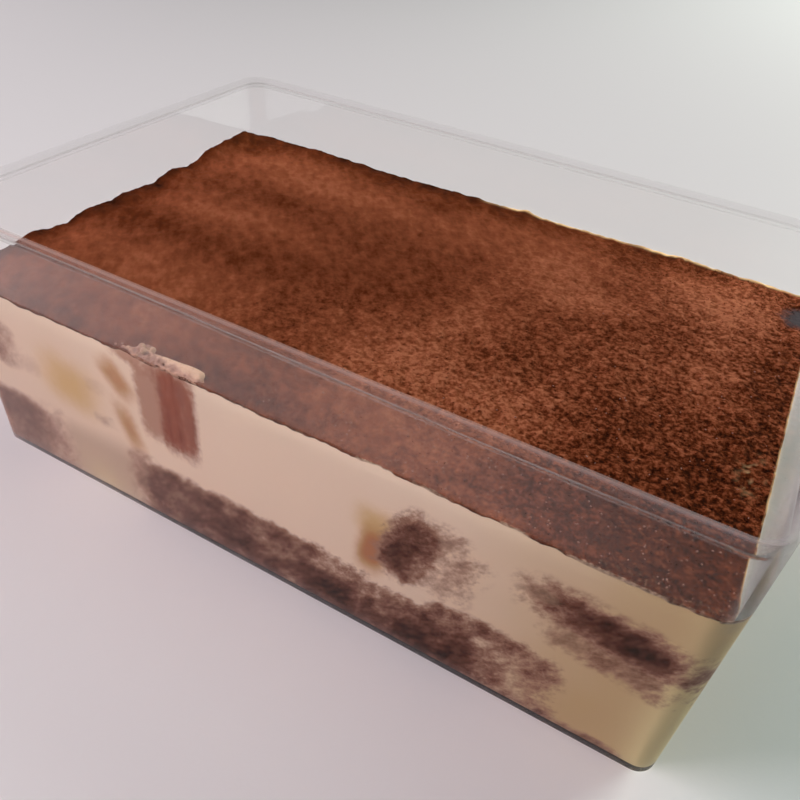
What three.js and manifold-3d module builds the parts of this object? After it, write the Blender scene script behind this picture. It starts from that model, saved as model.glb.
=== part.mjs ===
// Tiramisu in its clear rectangular dessert tray.
//
// Millimetres, +Z up. The origin is the middle of the tray's underside. X runs
// along the tray's long side and the front wall faces -Y.
//
// The food is pressed flat against the tray's walls: a block of cream with
// sponge fingers laid through it from the front wall to the back wall, and a
// dusted cocoa crust on top. The cream is cut out round every finger.

import * as THREE from "three";
import { mergeVertices } from "three/addons/utils/BufferGeometryUtils.js";
import Module from "manifold-3d";

// ---------------------------------------------------------------- dimensions

const TRAY = {
  length: 132, // over the rim, along X
  width: 85, // over the rim, along Y
  height: 50,
  draft: 1.0, // how far each wall leans in between the rim and the base
  wall: 1.2,
  floor: 0.7,
  cornerRadius: 5.0, // upright corners at the rim, outside
  baseCornerRadius: 3.0, // the same corners at the base, which are tighter
  baseRadius: 0.4, // rounding under the base
  floorFillet: 0.4, // rounding inside, where the floor meets the walls
  rimRadius: 0.45,
};

const FIT_GAP = 0.3; // clearance between neighbouring pieces
const CORNER_STEPS = 8; // facets of an upright corner

const CREAM_TOP = 35.2; // flat top of the cream, under the crust
const CREAM_BASE = TRAY.floor + FIT_GAP;

const CRUST = {
  base: CREAM_TOP + FIT_GAP,
  level: 36.6, // mean height of the cocoa surface
  cellsX: 52,
  cellsY: 33,
  crumb: 0.28, // height of the crumbly grain
  swell: 0.35, // height of the slow undulation
  leftReach: 4, // how far the heaps reach in from the left wall
  backReach: 4, // and from the back wall
  minimum: 0.4, // thinnest the crust may get
};

// Cocoa heaped against a wall, as middle along it, half width and height. A
// height below zero is a hollow.
const LEFT_HEAPS = [
  [-25, 3.5, 0.8],
  [-17.5, 1.8, -0.6],
  [-12, 2.2, 0.25],
  [-7, 1.3, -0.35],
  [-2.5, 2.8, 0.6],
  [5, 2.0, -0.5],
  [11, 2.1, 1.0],
  [15.5, 1.2, -0.4],
  [23, 3.6, 1.55],
  [29.5, 4.6, 1.9],
  [35.8, 3.4, 1.95],
];
const BACK_HEAPS = [
  [-48, 8, 0.4],
  [6.5, 1.6, 0.7],
  [31, 2, 0.3],
  [40, 4.5, 0.55],
];

// Sponge fingers as cross-sections in XZ: left and right end, bottom and top,
// corner rounding, and how far the outline wanders along the finger.
const WALL_SIDE = TRAY.length; // past the wall: such an end is cut off by it
const BELOW = -4; // under the floor: such a finger lies on the tray's floor
const FINGERS = {
  sponge_bottom_left: { x0: -WALL_SIDE, x1: -44.2, z0: BELOW, z1: 13.9, round: 3.2, wander: 0.5 },
  sponge_bottom_middle: { x0: -29.0, x1: 18.4, z0: BELOW, z1: 13.8, round: 3.0, wander: 0.5 },
  sponge_bottom_right: { x0: 19.4, x1: 49.0, z0: BELOW, z1: 15.0, round: 3.6, wander: 0.5 },
  sponge_upper_left: { x0: -WALL_SIDE, x1: -53.0, z0: 21.8, z1: 31.0, round: 4.2, wander: 0.5 },
  sponge_upper_dry: { x0: -47.5, x1: -26.8, z0: 16.8, z1: 31.6, round: 6.2, wander: 0.5 },
  sponge_upper_middle: { x0: 17.0, x1: 34.0, z0: 16.2, z1: 29.8, round: 5.8, wander: 0.5 },
  sponge_upper_right: { x0: 42.0, x1: WALL_SIDE, z0: 17.6, z1: 29.6, round: 5.2, wander: 0.6 },
};
const FINGER_SECTIONS = 7; // outlines along a finger
const FINGER_ARC_STEPS = 4; // facets of a rounded edge

// Cocoa dragged down the inside of the front wall.
const SMEAR = { topLeft: -23.6, topRight: -12.6, bottomLeft: -24.0, bottomRight: -14.6, z0: 20.6, z1: 34.2, depth: 0.8 };

// Cream squeezed up past the crust along the front wall.
const LIP = { x0: -26.0, x1: -10.4, back: 2.9, crest: 2.3, rootDepth: 3.0, stations: 13, arcSteps: 6 };

// -------------------------------------------------------------- small helpers

const wasm = await Module();
wasm.setup();

/** Repeatable noise in -1..1 for a pair of whole numbers. */
function hash(i, j, seed) {
  const s = Math.sin(i * 127.1 + j * 311.7 + seed * 74.7) * 43758.5453;
  return 2 * (s - Math.floor(s)) - 1;
}

/** Smooth noise in -1..1, one feature per unit. */
function noise(x, y, seed) {
  const i = Math.floor(x);
  const j = Math.floor(y);
  const u = THREE.MathUtils.smoothstep(x - i, 0, 1);
  const v = THREE.MathUtils.smoothstep(y - j, 0, 1);
  const low = THREE.MathUtils.lerp(hash(i, j, seed), hash(i + 1, j, seed), u);
  const high = THREE.MathUtils.lerp(hash(i, j + 1, seed), hash(i + 1, j + 1, seed), u);
  return THREE.MathUtils.lerp(low, high, v);
}

/** A closed indexed geometry from a flat list of coordinates and triangles. */
function indexed(positions, triangles) {
  const geometry = new THREE.BufferGeometry();
  geometry.setAttribute("position", new THREE.Float32BufferAttribute(positions, 3));
  geometry.setIndex(triangles);
  return geometry;
}

/** A manifold solid from a closed geometry. */
function solid(geometry) {
  const bare = geometry.clone();
  bare.deleteAttribute("normal");
  bare.deleteAttribute("uv");
  const welded = mergeVertices(bare, 1e-4);
  return new wasm.Manifold(
    new wasm.Mesh({
      numProp: 3,
      vertProperties: new Float32Array(welded.attributes.position.array),
      triVerts: new Uint32Array(welded.index.array),
    }),
  );
}

/** The geometry of a manifold solid. */
function surface(manifold) {
  const mesh = manifold.getMesh();
  const positions = [];
  for (let v = 0; v < mesh.numVert; v += 1) {
    for (let k = 0; k < 3; k += 1) positions.push(mesh.vertProperties[v * mesh.numProp + k]);
  }
  const geometry = indexed(positions, Array.from(mesh.triVerts));
  geometry.computeVertexNormals();
  return geometry;
}

/**
 * A solid skinned over closed rings of equal length. The first and last ring
 * are closed with a fan about their middle. Rings run anticlockwise seen from
 * the side they advance to.
 */
function skin(rings) {
  const count = rings[0].length;
  const positions = rings.flat().flatMap((p) => [p.x, p.y, p.z]);
  const triangles = [];
  for (let r = 0; r + 1 < rings.length; r += 1) {
    for (let k = 0; k < count; k += 1) {
      const a = r * count + k;
      const b = r * count + ((k + 1) % count);
      triangles.push(a, b, b + count, a, b + count, a + count);
    }
  }
  const cap = (ring, offset, flip) => {
    const middle = new THREE.Vector3();
    for (const p of ring) middle.addScaledVector(p, 1 / count);
    const hub = positions.length / 3;
    positions.push(middle.x, middle.y, middle.z);
    for (let k = 0; k < count; k += 1) {
      const a = offset + k;
      const b = offset + ((k + 1) % count);
      triangles.push(...(flip ? [hub, b, a] : [hub, a, b]));
    }
  };
  cap(rings[0], 0, true);
  cap(rings[rings.length - 1], (rings.length - 1) * count, false);
  return indexed(positions, triangles);
}

/** A level ring: a rectangle with rounded corners, anticlockwise from above. */
function roundedRing(halfX, halfY, radius, z) {
  const points = [];
  const corners = [
    [1, -1, -Math.PI / 2],
    [1, 1, 0],
    [-1, 1, Math.PI / 2],
    [-1, -1, Math.PI],
  ];
  for (const [sx, sy, start] of corners) {
    for (let k = 0; k <= CORNER_STEPS; k += 1) {
      const angle = start + (k / CORNER_STEPS) * (Math.PI / 2);
      points.push(
        new THREE.Vector3(
          sx * (halfX - radius) + radius * Math.cos(angle),
          sy * (halfY - radius) + radius * Math.sin(angle),
          z,
        ),
      );
    }
  }
  return points;
}

/** The tray's outline at height z, moved in by `inset` from the outer face. */
function trayRing(z, inset) {
  const up = z / TRAY.height;
  const lean = TRAY.draft * (1 - up);
  const outside = TRAY.baseCornerRadius + (TRAY.cornerRadius - TRAY.baseCornerRadius) * up;
  const radius = Math.max(0.4, outside - inset);
  return roundedRing(TRAY.length / 2 - lean - inset, TRAY.width / 2 - lean - inset, radius, z);
}

/** Rings round a quarter circle, as [height, inset] offsets from its start. */
function quarterSteps(radius, steps) {
  return Array.from({ length: steps + 1 }, (_, k) => {
    const angle = (k / steps) * (Math.PI / 2);
    return [radius * (1 - Math.cos(angle)), radius * (1 - Math.sin(angle))];
  });
}

// ---------------------------------------------------------------------- tray

/** Thin-walled open tray: out over the base, up to the rim, down to the floor. */
function makeTray() {
  const { height, wall, floor, baseRadius, floorFillet, rimRadius } = TRAY;
  const rings = [];
  for (const [rise, inset] of quarterSteps(baseRadius, 4)) rings.push(trayRing(rise, inset));
  rings.push(trayRing(height - rimRadius, 0));
  rings.push(trayRing(height, rimRadius));
  rings.push(trayRing(height, wall - rimRadius));
  rings.push(trayRing(height - rimRadius, wall));
  for (const [rise, inset] of quarterSteps(floorFillet, 4).reverse()) {
    rings.push(trayRing(floor + rise, wall + inset));
  }
  return skin(rings);
}

/** Everything inside the tray between two heights, `clear` away from its walls. */
function trayInside(z0, z1, clear) {
  return skin([trayRing(z0, TRAY.wall + clear), trayRing(z1, TRAY.wall + clear)]);
}

// -------------------------------------------------------------------- sponge

/** The outline of a finger at one station, grown by `grow` on every side. */
function fingerOutline(finger, station, seed, grow) {
  const shift = (k) => finger.wander * noise(station * 1.7 + 0.5, k * 3.1, seed);
  const x0 = finger.x0 + shift(1) - grow;
  const x1 = finger.x1 + shift(2) + grow;
  const z0 = finger.z0 + shift(3) - grow;
  const z1 = finger.z1 + shift(4) + grow;
  const radius = finger.round + grow;
  const corners = [
    [x1 - radius, z0 + radius, -Math.PI / 2],
    [x1 - radius, z1 - radius, 0],
    [x0 + radius, z1 - radius, Math.PI / 2],
    [x0 + radius, z0 + radius, Math.PI],
  ];
  const outline = [];
  for (const [cx, cz, start] of corners) {
    for (let k = 0; k <= FINGER_ARC_STEPS; k += 1) {
      const angle = start + (k / FINGER_ARC_STEPS) * (Math.PI / 2);
      outline.push([cx + radius * Math.cos(angle), cz + radius * Math.sin(angle)]);
    }
  }
  return outline;
}

/** One finger, from beyond the front wall to beyond the back wall. */
function fingerBar(finger, seed, grow) {
  const reach = TRAY.width / 2 + 2;
  const rings = [];
  for (let s = 0; s < FINGER_SECTIONS; s += 1) {
    const y = reach - (2 * reach * s) / (FINGER_SECTIONS - 1);
    rings.push(fingerOutline(finger, s, seed, grow).map(([x, z]) => new THREE.Vector3(x, y, z)));
  }
  return solid(skin(rings));
}

// --------------------------------------------------------------------- crust

/** How much heaps along a wall raise a place, by how far along and out from it. */
function heaped(heaps, along, out, reach) {
  let sum = 0;
  for (const [middle, half, height] of heaps) sum += height * Math.exp(-(((along - middle) / half) ** 2));
  return sum * Math.exp(-((out / reach) ** 2));
}

/** Height of the cocoa surface. */
function crustHeight(x, y) {
  const left = heaped(LEFT_HEAPS, y, x + TRAY.length / 2, CRUST.leftReach);
  const back = heaped(BACK_HEAPS, x, TRAY.width / 2 - y, CRUST.backReach);
  const swell = noise(x / 26, y / 21, 11) + 0.6 * noise(x / 11, y / 12, 12);
  const crumb = noise(x / 2.6, y / 2.4, 13) + 0.7 * noise(x / 4.9, y / 5.3, 14);
  return (
    CRUST.level +
    left +
    back +
    CRUST.swell * 0.6 * swell +
    CRUST.crumb * 0.6 * crumb
  );
}

/** The crust before it is trimmed: a block with the cocoa surface on top. */
function crustBlock() {
  const { cellsX, cellsY, base, minimum } = CRUST;
  const halfX = TRAY.length / 2;
  const halfY = TRAY.width / 2;
  const columns = cellsX + 1;
  const positions = [];
  const triangles = [];
  for (let j = 0; j <= cellsY; j += 1) {
    for (let i = 0; i <= cellsX; i += 1) {
      const x = halfX * ((2 * i) / cellsX - 1);
      const y = halfY * ((2 * j) / cellsY - 1);
      positions.push(x, y, Math.max(base + minimum, crustHeight(x, y)));
    }
  }
  for (let j = 0; j < cellsY; j += 1) {
    for (let i = 0; i < cellsX; i += 1) {
      const a = j * columns + i;
      const b = a + columns;
      // The diagonal alternates, so no direction shows in the facets.
      if ((i + j) % 2 === 0) triangles.push(a, a + 1, b + 1, a, b + 1, b);
      else triangles.push(a, a + 1, b, a + 1, b + 1, b);
    }
  }
  const edge = [];
  for (let i = 0; i < cellsX; i += 1) edge.push(i);
  for (let j = 0; j < cellsY; j += 1) edge.push(j * columns + cellsX);
  for (let i = cellsX; i > 0; i -= 1) edge.push(cellsY * columns + i);
  for (let j = cellsY; j > 0; j -= 1) edge.push(j * columns);
  const skirt = positions.length / 3;
  for (const v of edge) positions.push(positions[3 * v], positions[3 * v + 1], base);
  const hub = positions.length / 3;
  positions.push(0, 0, base);
  for (let k = 0; k < edge.length; k += 1) {
    const n = (k + 1) % edge.length;
    triangles.push(edge[n], edge[k], skirt + k, edge[n], skirt + k, skirt + n);
    triangles.push(hub, skirt + n, skirt + k);
  }
  return solid(indexed(positions, triangles));
}

/** The ridge of cream along the front wall, grown by `grow`. */
function lipBar(grow) {
  const front = -TRAY.width / 2;
  const rings = [];
  for (let s = 0; s < LIP.stations; s += 1) {
    const t = s / (LIP.stations - 1);
    const x = THREE.MathUtils.lerp(LIP.x0 - grow, LIP.x1 + grow, t);
    const swell = Math.sqrt(Math.sin(Math.PI * (0.06 + 0.88 * t)));
    const crest = CRUST.level + (LIP.crest - 1 + 0.5 * noise(s * 0.6, 2.5, 21)) * swell + grow;
    const depth = (LIP.back + 0.5 * noise(s * 0.7, 7.5, 22)) * swell + grow;
    const root = CREAM_TOP - LIP.rootDepth;
    const ring = [new THREE.Vector3(x, front, root), new THREE.Vector3(x, front + depth + TRAY.wall, root)];
    for (let k = 0; k <= LIP.arcSteps; k += 1) {
      const angle = (k / LIP.arcSteps) * (Math.PI / 2);
      const y = front + TRAY.wall + depth * Math.cos(angle);
      const z = CRUST.base + (crest - CRUST.base) * Math.sin(angle);
      ring.push(new THREE.Vector3(x, y, z));
    }
    ring.push(new THREE.Vector3(x, front, crest));
    rings.push(ring);
  }
  return solid(skin(rings));
}

/** Cocoa smeared down the front wall, grown by `grow`. */
function smearPlate(grow) {
  const front = -TRAY.width / 2;
  const back = front + TRAY.draft + TRAY.wall + FIT_GAP + SMEAR.depth + grow;
  const outline = new THREE.Shape();
  outline.moveTo(SMEAR.bottomLeft - grow, SMEAR.z0 - grow);
  outline.lineTo(SMEAR.bottomRight + grow, SMEAR.z0 - grow);
  outline.lineTo(SMEAR.topRight + grow, SMEAR.z1 + grow);
  outline.lineTo(SMEAR.topLeft - grow, SMEAR.z1 + grow);
  outline.closePath();
  const plate = new THREE.ExtrudeGeometry(outline, { depth: back - front, bevelEnabled: false });
  plate.rotateX(Math.PI / 2);
  plate.translate(0, back, 0);
  return solid(plate);
}

// ------------------------------------------------------------------ materials

const finishes = {
  clearPlastic: new THREE.MeshStandardMaterial({
    color: 0xeef0f2,
    roughness: 0.05,
    metalness: 0,
    transparent: true,
    opacity: 0.25,
  }),
  cream: new THREE.MeshStandardMaterial({ color: 0xe2c9a8, roughness: 0.45, metalness: 0 }),
  cocoa: new THREE.MeshStandardMaterial({ color: 0x6e3b2a, roughness: 0.95, metalness: 0 }),
  soakedSponge: new THREE.MeshStandardMaterial({ color: 0x5e423a, roughness: 0.7, metalness: 0 }),
  drySponge: new THREE.MeshStandardMaterial({ color: 0xc9a367, roughness: 0.8, metalness: 0 }),
};

function piece(name, geometry, material) {
  const mesh = new THREE.Mesh(geometry, material);
  mesh.name = name;
  return mesh;
}

// ------------------------------------------------------------------- assembly

const tiramisu = new THREE.Group();
tiramisu.add(piece("tray", makeTray(), finishes.clearPlastic));

const foodRoom = solid(trayInside(CREAM_BASE, TRAY.height - 2, FIT_GAP));
let cream = solid(trayInside(CREAM_BASE, CREAM_TOP, FIT_GAP)).add(lipBar(0).intersect(foodRoom));

const food = new THREE.Group();
Object.entries(FINGERS).forEach(([name, finger], index) => {
  const bar = fingerBar(finger, index + 1, 0).intersect(foodRoom);
  const finish = name.endsWith("dry") ? finishes.drySponge : finishes.soakedSponge;
  food.add(piece(name, surface(bar), finish));
  cream = cream.subtract(fingerBar(finger, index + 1, FIT_GAP));
});

food.add(piece("cocoa_smear", surface(smearPlate(0).intersect(foodRoom)), finishes.cocoa));
cream = cream.subtract(smearPlate(FIT_GAP));
food.add(piece("cream", surface(cream), finishes.cream));

const crust = crustBlock().intersect(foodRoom).subtract(lipBar(FIT_GAP));
food.add(piece("cocoa", surface(crust), finishes.cocoa));
tiramisu.add(food);

export default tiramisu;
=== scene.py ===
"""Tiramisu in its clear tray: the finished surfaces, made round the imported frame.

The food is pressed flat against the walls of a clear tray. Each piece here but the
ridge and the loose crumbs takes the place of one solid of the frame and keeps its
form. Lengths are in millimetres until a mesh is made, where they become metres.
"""

from __future__ import annotations

import logging
import math
from dataclasses import dataclass, field
from enum import Enum
from functools import reduce
from typing import Iterable, Sequence

import bpy
import numpy as np
from mathutils import Matrix, Vector

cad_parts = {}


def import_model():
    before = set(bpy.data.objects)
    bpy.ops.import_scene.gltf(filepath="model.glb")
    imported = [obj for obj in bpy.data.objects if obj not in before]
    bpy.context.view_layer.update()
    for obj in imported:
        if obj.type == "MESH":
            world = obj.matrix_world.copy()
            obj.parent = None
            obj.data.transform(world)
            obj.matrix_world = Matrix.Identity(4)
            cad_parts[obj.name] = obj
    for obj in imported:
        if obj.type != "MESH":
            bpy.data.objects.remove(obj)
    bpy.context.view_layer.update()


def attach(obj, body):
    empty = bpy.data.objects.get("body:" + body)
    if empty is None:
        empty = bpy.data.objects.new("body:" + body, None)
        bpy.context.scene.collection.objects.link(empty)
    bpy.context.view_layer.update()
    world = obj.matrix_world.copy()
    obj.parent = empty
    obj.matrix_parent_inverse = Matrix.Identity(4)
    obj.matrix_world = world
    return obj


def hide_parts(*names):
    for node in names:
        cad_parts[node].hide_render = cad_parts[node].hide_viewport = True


LOG = logging.getLogger("tiramisu")

MM = 0.001
ROOT = "root"
Pair = tuple[float, float]
Triple = tuple[float, float, float]
Colour = tuple[float, float, float, float]
Ball = tuple[float, float, float, float]
Thing = bpy.types.Object
Socket = bpy.types.NodeSocket


# ------------------------------------------------------------------ small helpers


def srgb(red: int, green: int, blue: int) -> Colour:
    """Turn a screen colour of 0 to 255 into a linear one.

    Args:
        red, green, blue: the screen colour.

    Returns:
        The linear colour with full opacity.
    """

    def linear(value: int) -> float:
        """One of the three, made linear."""
        share = value / 255
        return share / 12.92 if share <= 0.04045 else ((share + 0.055) / 1.055) ** 2.4

    return (linear(red), linear(green), linear(blue), 1.0)


def smoothstep(low: float, high: float, value: np.ndarray) -> np.ndarray:
    """Rise smoothly from 0 at low to 1 at high, or fall where low is the larger."""
    share = np.clip((value - low) / (high - low), 0.0, 1.0)
    return share * share * (3 - 2 * share)


def lattice(i: np.ndarray, j: np.ndarray, seed: float) -> np.ndarray:
    """Repeatable noise in -1..1 for pairs of whole numbers, as the frame's solids use."""
    wave = np.sin(i * 127.1 + j * 311.7 + seed * 74.7) * 43758.5453
    return 2 * (wave - np.floor(wave)) - 1


def noise2(x: np.ndarray, y: np.ndarray, seed: float) -> np.ndarray:
    """Smooth noise in -1..1, one feature per unit.

    Args:
        x, y: places, of one shape.
        seed: picks the pattern.

    Returns:
        The noise at every place.
    """
    x, y = np.broadcast_arrays(np.asarray(x, float), np.asarray(y, float))
    i, j = np.floor(x), np.floor(y)
    u, v = smoothstep(0, 1, x - i), smoothstep(0, 1, y - j)
    low = lattice(i, j, seed) * (1 - u) + lattice(i + 1, j, seed) * u
    high = lattice(i, j + 1, seed) * (1 - u) + lattice(i + 1, j + 1, seed) * u
    return low * (1 - v) + high * v


def smooth_rise(value: float, low: float, high: float) -> float:
    """Rise smoothly from 0 at low to 1 at high, for one number."""
    return float(smoothstep(low, high, np.array(value)))


def rotated(x: np.ndarray, y: np.ndarray, degrees: float) -> tuple[np.ndarray, np.ndarray]:
    """Turn places about the origin, to break up the grid of the noise."""
    c, s = math.cos(math.radians(degrees)), math.sin(math.radians(degrees))
    return c * x - s * y, s * x + c * y


# ---------------------------------------------------------------- mesh helpers


def make_object(name: str, points: np.ndarray, faces: Sequence[Sequence[int]]) -> Thing:
    """Link a new mesh object whose points are given in millimetres.

    Args:
        name: the object's name.
        points: an N by 3 array in millimetres.
        faces: corner numbers of each face, anticlockwise from outside.

    Returns:
        The object, at the origin.
    """
    mesh = bpy.data.meshes.new(name)
    mesh.from_pydata((np.asarray(points) * MM).tolist(), [], [list(map(int, f)) for f in faces])
    mesh.update()
    thing = bpy.data.objects.new(name, mesh)
    bpy.context.scene.collection.objects.link(thing)
    return thing


def mesh_points(thing: Thing) -> np.ndarray:
    """Read the points of a mesh object.

    Args:
        thing: the object.

    Returns:
        An N by 3 array in millimetres.
    """
    flat = np.empty(len(thing.data.vertices) * 3)
    thing.data.vertices.foreach_get("co", flat)
    return flat.reshape(-1, 3) / MM


def store(thing: Thing, name: str, values: np.ndarray) -> None:
    """Keep one number for each point of a mesh, for its material to read."""
    layer = thing.data.attributes.new(name, "FLOAT", "POINT")
    layer.data.foreach_set("value", np.ascontiguousarray(values, dtype=np.float32))


def bake_modifiers(thing: Thing) -> None:
    """Replace an object's mesh by the result of its modifiers, and drop these.

    Args:
        thing: the object.
    """
    graph = bpy.context.evaluated_depsgraph_get()
    done = bpy.data.meshes.new_from_object(thing.evaluated_get(graph))
    old = thing.data
    thing.modifiers.clear()
    thing.data = done
    done.name = thing.name
    bpy.data.meshes.remove(old)


def remove(thing: Thing) -> None:
    """Delete an object that only helped to shape another.

    Args:
        thing: the object, whose mesh goes too if nothing else uses it.
    """
    mesh = thing.data
    bpy.data.objects.remove(thing)
    if mesh.users == 0:
        bpy.data.meshes.remove(mesh)


class Cut(Enum):
    """What is left of a closed mesh that another one cuts."""

    DIFFERENCE = "DIFFERENCE"
    INTERSECT = "INTERSECT"


def cut(thing: Thing, tool: Thing, how: Cut) -> None:
    """Cut one closed mesh with another one, which is used up.

    Args:
        thing: the mesh that is cut, and keeps the result.
        tool: the mesh that it is cut with.
        how: what is left.
    """
    cutter = thing.modifiers.new("cut", "BOOLEAN")
    cutter.operation = how.value
    cutter.solver = "MANIFOLD"
    cutter.object = tool
    bake_modifiers(thing)
    remove(tool)


def shade(thing: Thing, sharp_angle: float = 180.0) -> None:
    """Shade a mesh smooth.

    Args:
        thing: the mesh object.
        sharp_angle: edges sharper than these degrees are left crisp.
    """
    thing.data.polygons.foreach_set("use_smooth", np.full(len(thing.data.polygons), True))
    if sharp_angle < 180:
        thing.data.set_sharp_from_angle(angle=math.radians(sharp_angle))
    thing.data.update()


def ring_faces(start: int, count: int) -> list[tuple[int, int, int, int]]:
    """Join one ring to the next one of the same count.

    Args:
        start: the number of the first ring's first point.
        count: how many points each ring has.

    Returns:
        The faces, facing outwards.
    """
    return [
        (start + k, start + (k + 1) % count, start + count + (k + 1) % count, start + count + k)
        for k in range(count)
    ]


def skin(rings: Sequence[np.ndarray]) -> tuple[np.ndarray, list[tuple[int, ...]]]:
    """Skin closed rings of equal count and close both ends with a fan.

    Args:
        rings: each an N by 3 array, anticlockwise seen from where they advance to.

    Returns:
        The points and the faces.
    """
    count = len(rings[0])
    points = [*rings, rings[0].mean(0, keepdims=True), rings[-1].mean(0, keepdims=True)]
    faces: list[tuple[int, ...]] = []
    for r in range(len(rings) - 1):
        faces += ring_faces(r * count, count)
    first, last = len(rings) * count, len(rings) * count + 1
    end = (len(rings) - 1) * count
    for k in range(count):
        n = (k + 1) % count
        faces.append((first, n, k))
        faces.append((last, end + k, end + n))
    return np.vstack(points), faces


# -------------------------------------------------------------- material helpers


def add_node(tree: bpy.types.NodeTree, kind: str, inputs: dict, settings: dict) -> bpy.types.Node:
    """Add a node to a tree.

    Args:
        tree: the tree.
        kind: the node's type.
        inputs: what goes into its sockets, by name or number: a value or a socket.
        settings: values of the node itself, by name.

    Returns:
        The node.
    """
    node = tree.nodes.new(kind)
    for key, value in settings.items():
        setattr(node, key, value)
    for key, value in inputs.items():
        if isinstance(value, Socket):
            tree.links.new(value, node.inputs[key])
        else:
            node.inputs[key].default_value = value
    return node


class Shader:
    """Short hand for building the nodes of one material."""

    def __init__(self, name: str) -> None:
        """Start a material with nothing but its output.

        Args:
            name: the material's name.
        """
        self.material = bpy.data.materials.new(name)
        self.material.use_nodes = True
        self.tree = self.material.node_tree
        self.tree.nodes.clear()
        self.output = self.tree.nodes.new("ShaderNodeOutputMaterial")
        self.coordinates = self.tree.nodes.new("ShaderNodeTexCoord").outputs["Object"]

    def add(self, kind: str, inputs: dict | None = None, **settings: object) -> bpy.types.Node:
        """Add a node of a type that is given without its common prefix."""
        return add_node(self.tree, "ShaderNode" + kind, inputs or {}, settings)

    def attribute(self, name: str) -> Socket:
        """A number stored on the mesh's points."""
        return self.add("Attribute", attribute_name=name).outputs["Fac"]

    def noise(
        self,
        size: float,
        detail: float = 3.0,
        roughness: float = 0.55,
        squash: Triple = (1, 1, 1),
        bend: float = 0.0,
        turn: Triple = (0, 0, 0),
    ) -> Socket:
        """Noise in 0..1 with features of about `size` millimetres.

        Args:
            size: the size of its features.
            detail, roughness: how much finer noise is in it.
            squash: how many times closer its features lie along each axis.
            bend: how far it is bent, like worms.
            turn: degrees that these axes are turned about X, Y and Z, if they are squashed.

        Returns:
            The noise.
        """
        vector = self.coordinates
        if tuple(squash) != (1, 1, 1):
            inputs = {"Vector": vector, "Scale": tuple(1 / part for part in squash)}
            inputs["Rotation"] = tuple(math.radians(angle) for angle in turn)
            vector = self.add("Mapping", inputs, vector_type="TEXTURE").outputs[0]
        settings = {"Vector": vector, "Scale": 1 / (size * MM), "Detail": detail}
        settings |= {"Roughness": roughness, "Distortion": bend}
        return self.add("TexNoise", settings).outputs["Fac"]

    def wobble(
        self,
        size: float,
        reach: float,
        detail: float = 3.0,
        squash: Triple = (1, 1, 1),
        turn: Triple = (0, 0, 0),
    ) -> Socket:
        """Noise about zero that swings by roughly `reach` either way, as `noise` makes it."""
        noise = self.noise(size, detail, 0.58, squash, turn=turn)
        return self.product(self.calc("SUBTRACT", noise, 0.5), 4 * reach)

    def calc(self, operation: str, a: object, b: object) -> Socket:
        """One sum on two numbers."""
        return self.add("Math", {0: a, 1: b}, operation=operation).outputs[0]

    def total(self, *parts: object) -> Socket:
        """Several numbers added up."""
        return reduce(lambda a, b: self.calc("ADD", a, b), parts)

    def product(self, *parts: object) -> Socket:
        """Several numbers multiplied."""
        return reduce(lambda a, b: self.calc("MULTIPLY", a, b), parts)

    def left_over(self, share: object) -> Socket:
        """What a share leaves of one."""
        return self.calc("SUBTRACT", 1.0, share)

    def step(self, value: object, low: float, high: float, to: Pair = (0, 1)) -> Socket:
        """Map low..high to `to` with a soft start and end."""
        inputs = {"Value": value, "From Min": low, "From Max": high, "To Min": to[0], "To Max": to[1]}
        return self.add("MapRange", inputs, interpolation_type="SMOOTHSTEP").outputs[0]

    def blend(self, share: object, first: object, second: object) -> Socket:
        """Mix two colours."""
        inputs = {0: share, 6: first, 7: second}
        return self.add("Mix", inputs, data_type="RGBA").outputs[2]

    def ramp(self, value: object, stops: Sequence[tuple[float, Colour]]) -> Socket:
        """Turn a number into a colour.

        Args:
            value: the number.
            stops: places in 0..1 and their colours.

        Returns:
            The colour.
        """
        node = self.add("ValToRGB", {"Fac": value})
        elements = node.color_ramp.elements
        for element, (place, colour) in zip(elements, (stops[0], stops[-1])):
            element.position, element.color = place, colour
        for place, colour in stops[1:-1]:
            elements.new(place).color = colour
        return node.outputs["Color"]

    def axis(self, which: str) -> Socket:
        """The surface's place along X, Y or Z, in metres."""
        return self.add("SeparateXYZ", {0: self.coordinates}).outputs[which]

    def bump(self, height: object, distance: float) -> Socket:
        """A normal from a height of 0..1 that stands for `distance` millimetres."""
        inputs = {"Height": height, "Distance": distance * MM, "Strength": 1.0}
        return self.add("Bump", inputs).outputs["Normal"]

    def surface(self, colour: object, roughness: float, **more: object) -> Socket:
        """A principled surface.

        Args:
            colour: its colour.
            roughness: how dull it is.
            more: its other inputs, with an underscore for each space of their names.

        Returns:
            The shader.
        """
        inputs = {"Base Color": colour, "Roughness": roughness}
        inputs |= {name.replace("_", " "): value for name, value in more.items()}
        return self.add("BsdfPrincipled", inputs).outputs[0]

    def finish(self, surface: Socket) -> bpy.types.Material:
        """Connect the surface and give back the material."""
        self.tree.links.new(surface, self.output.inputs["Surface"])
        return self.material


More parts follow.
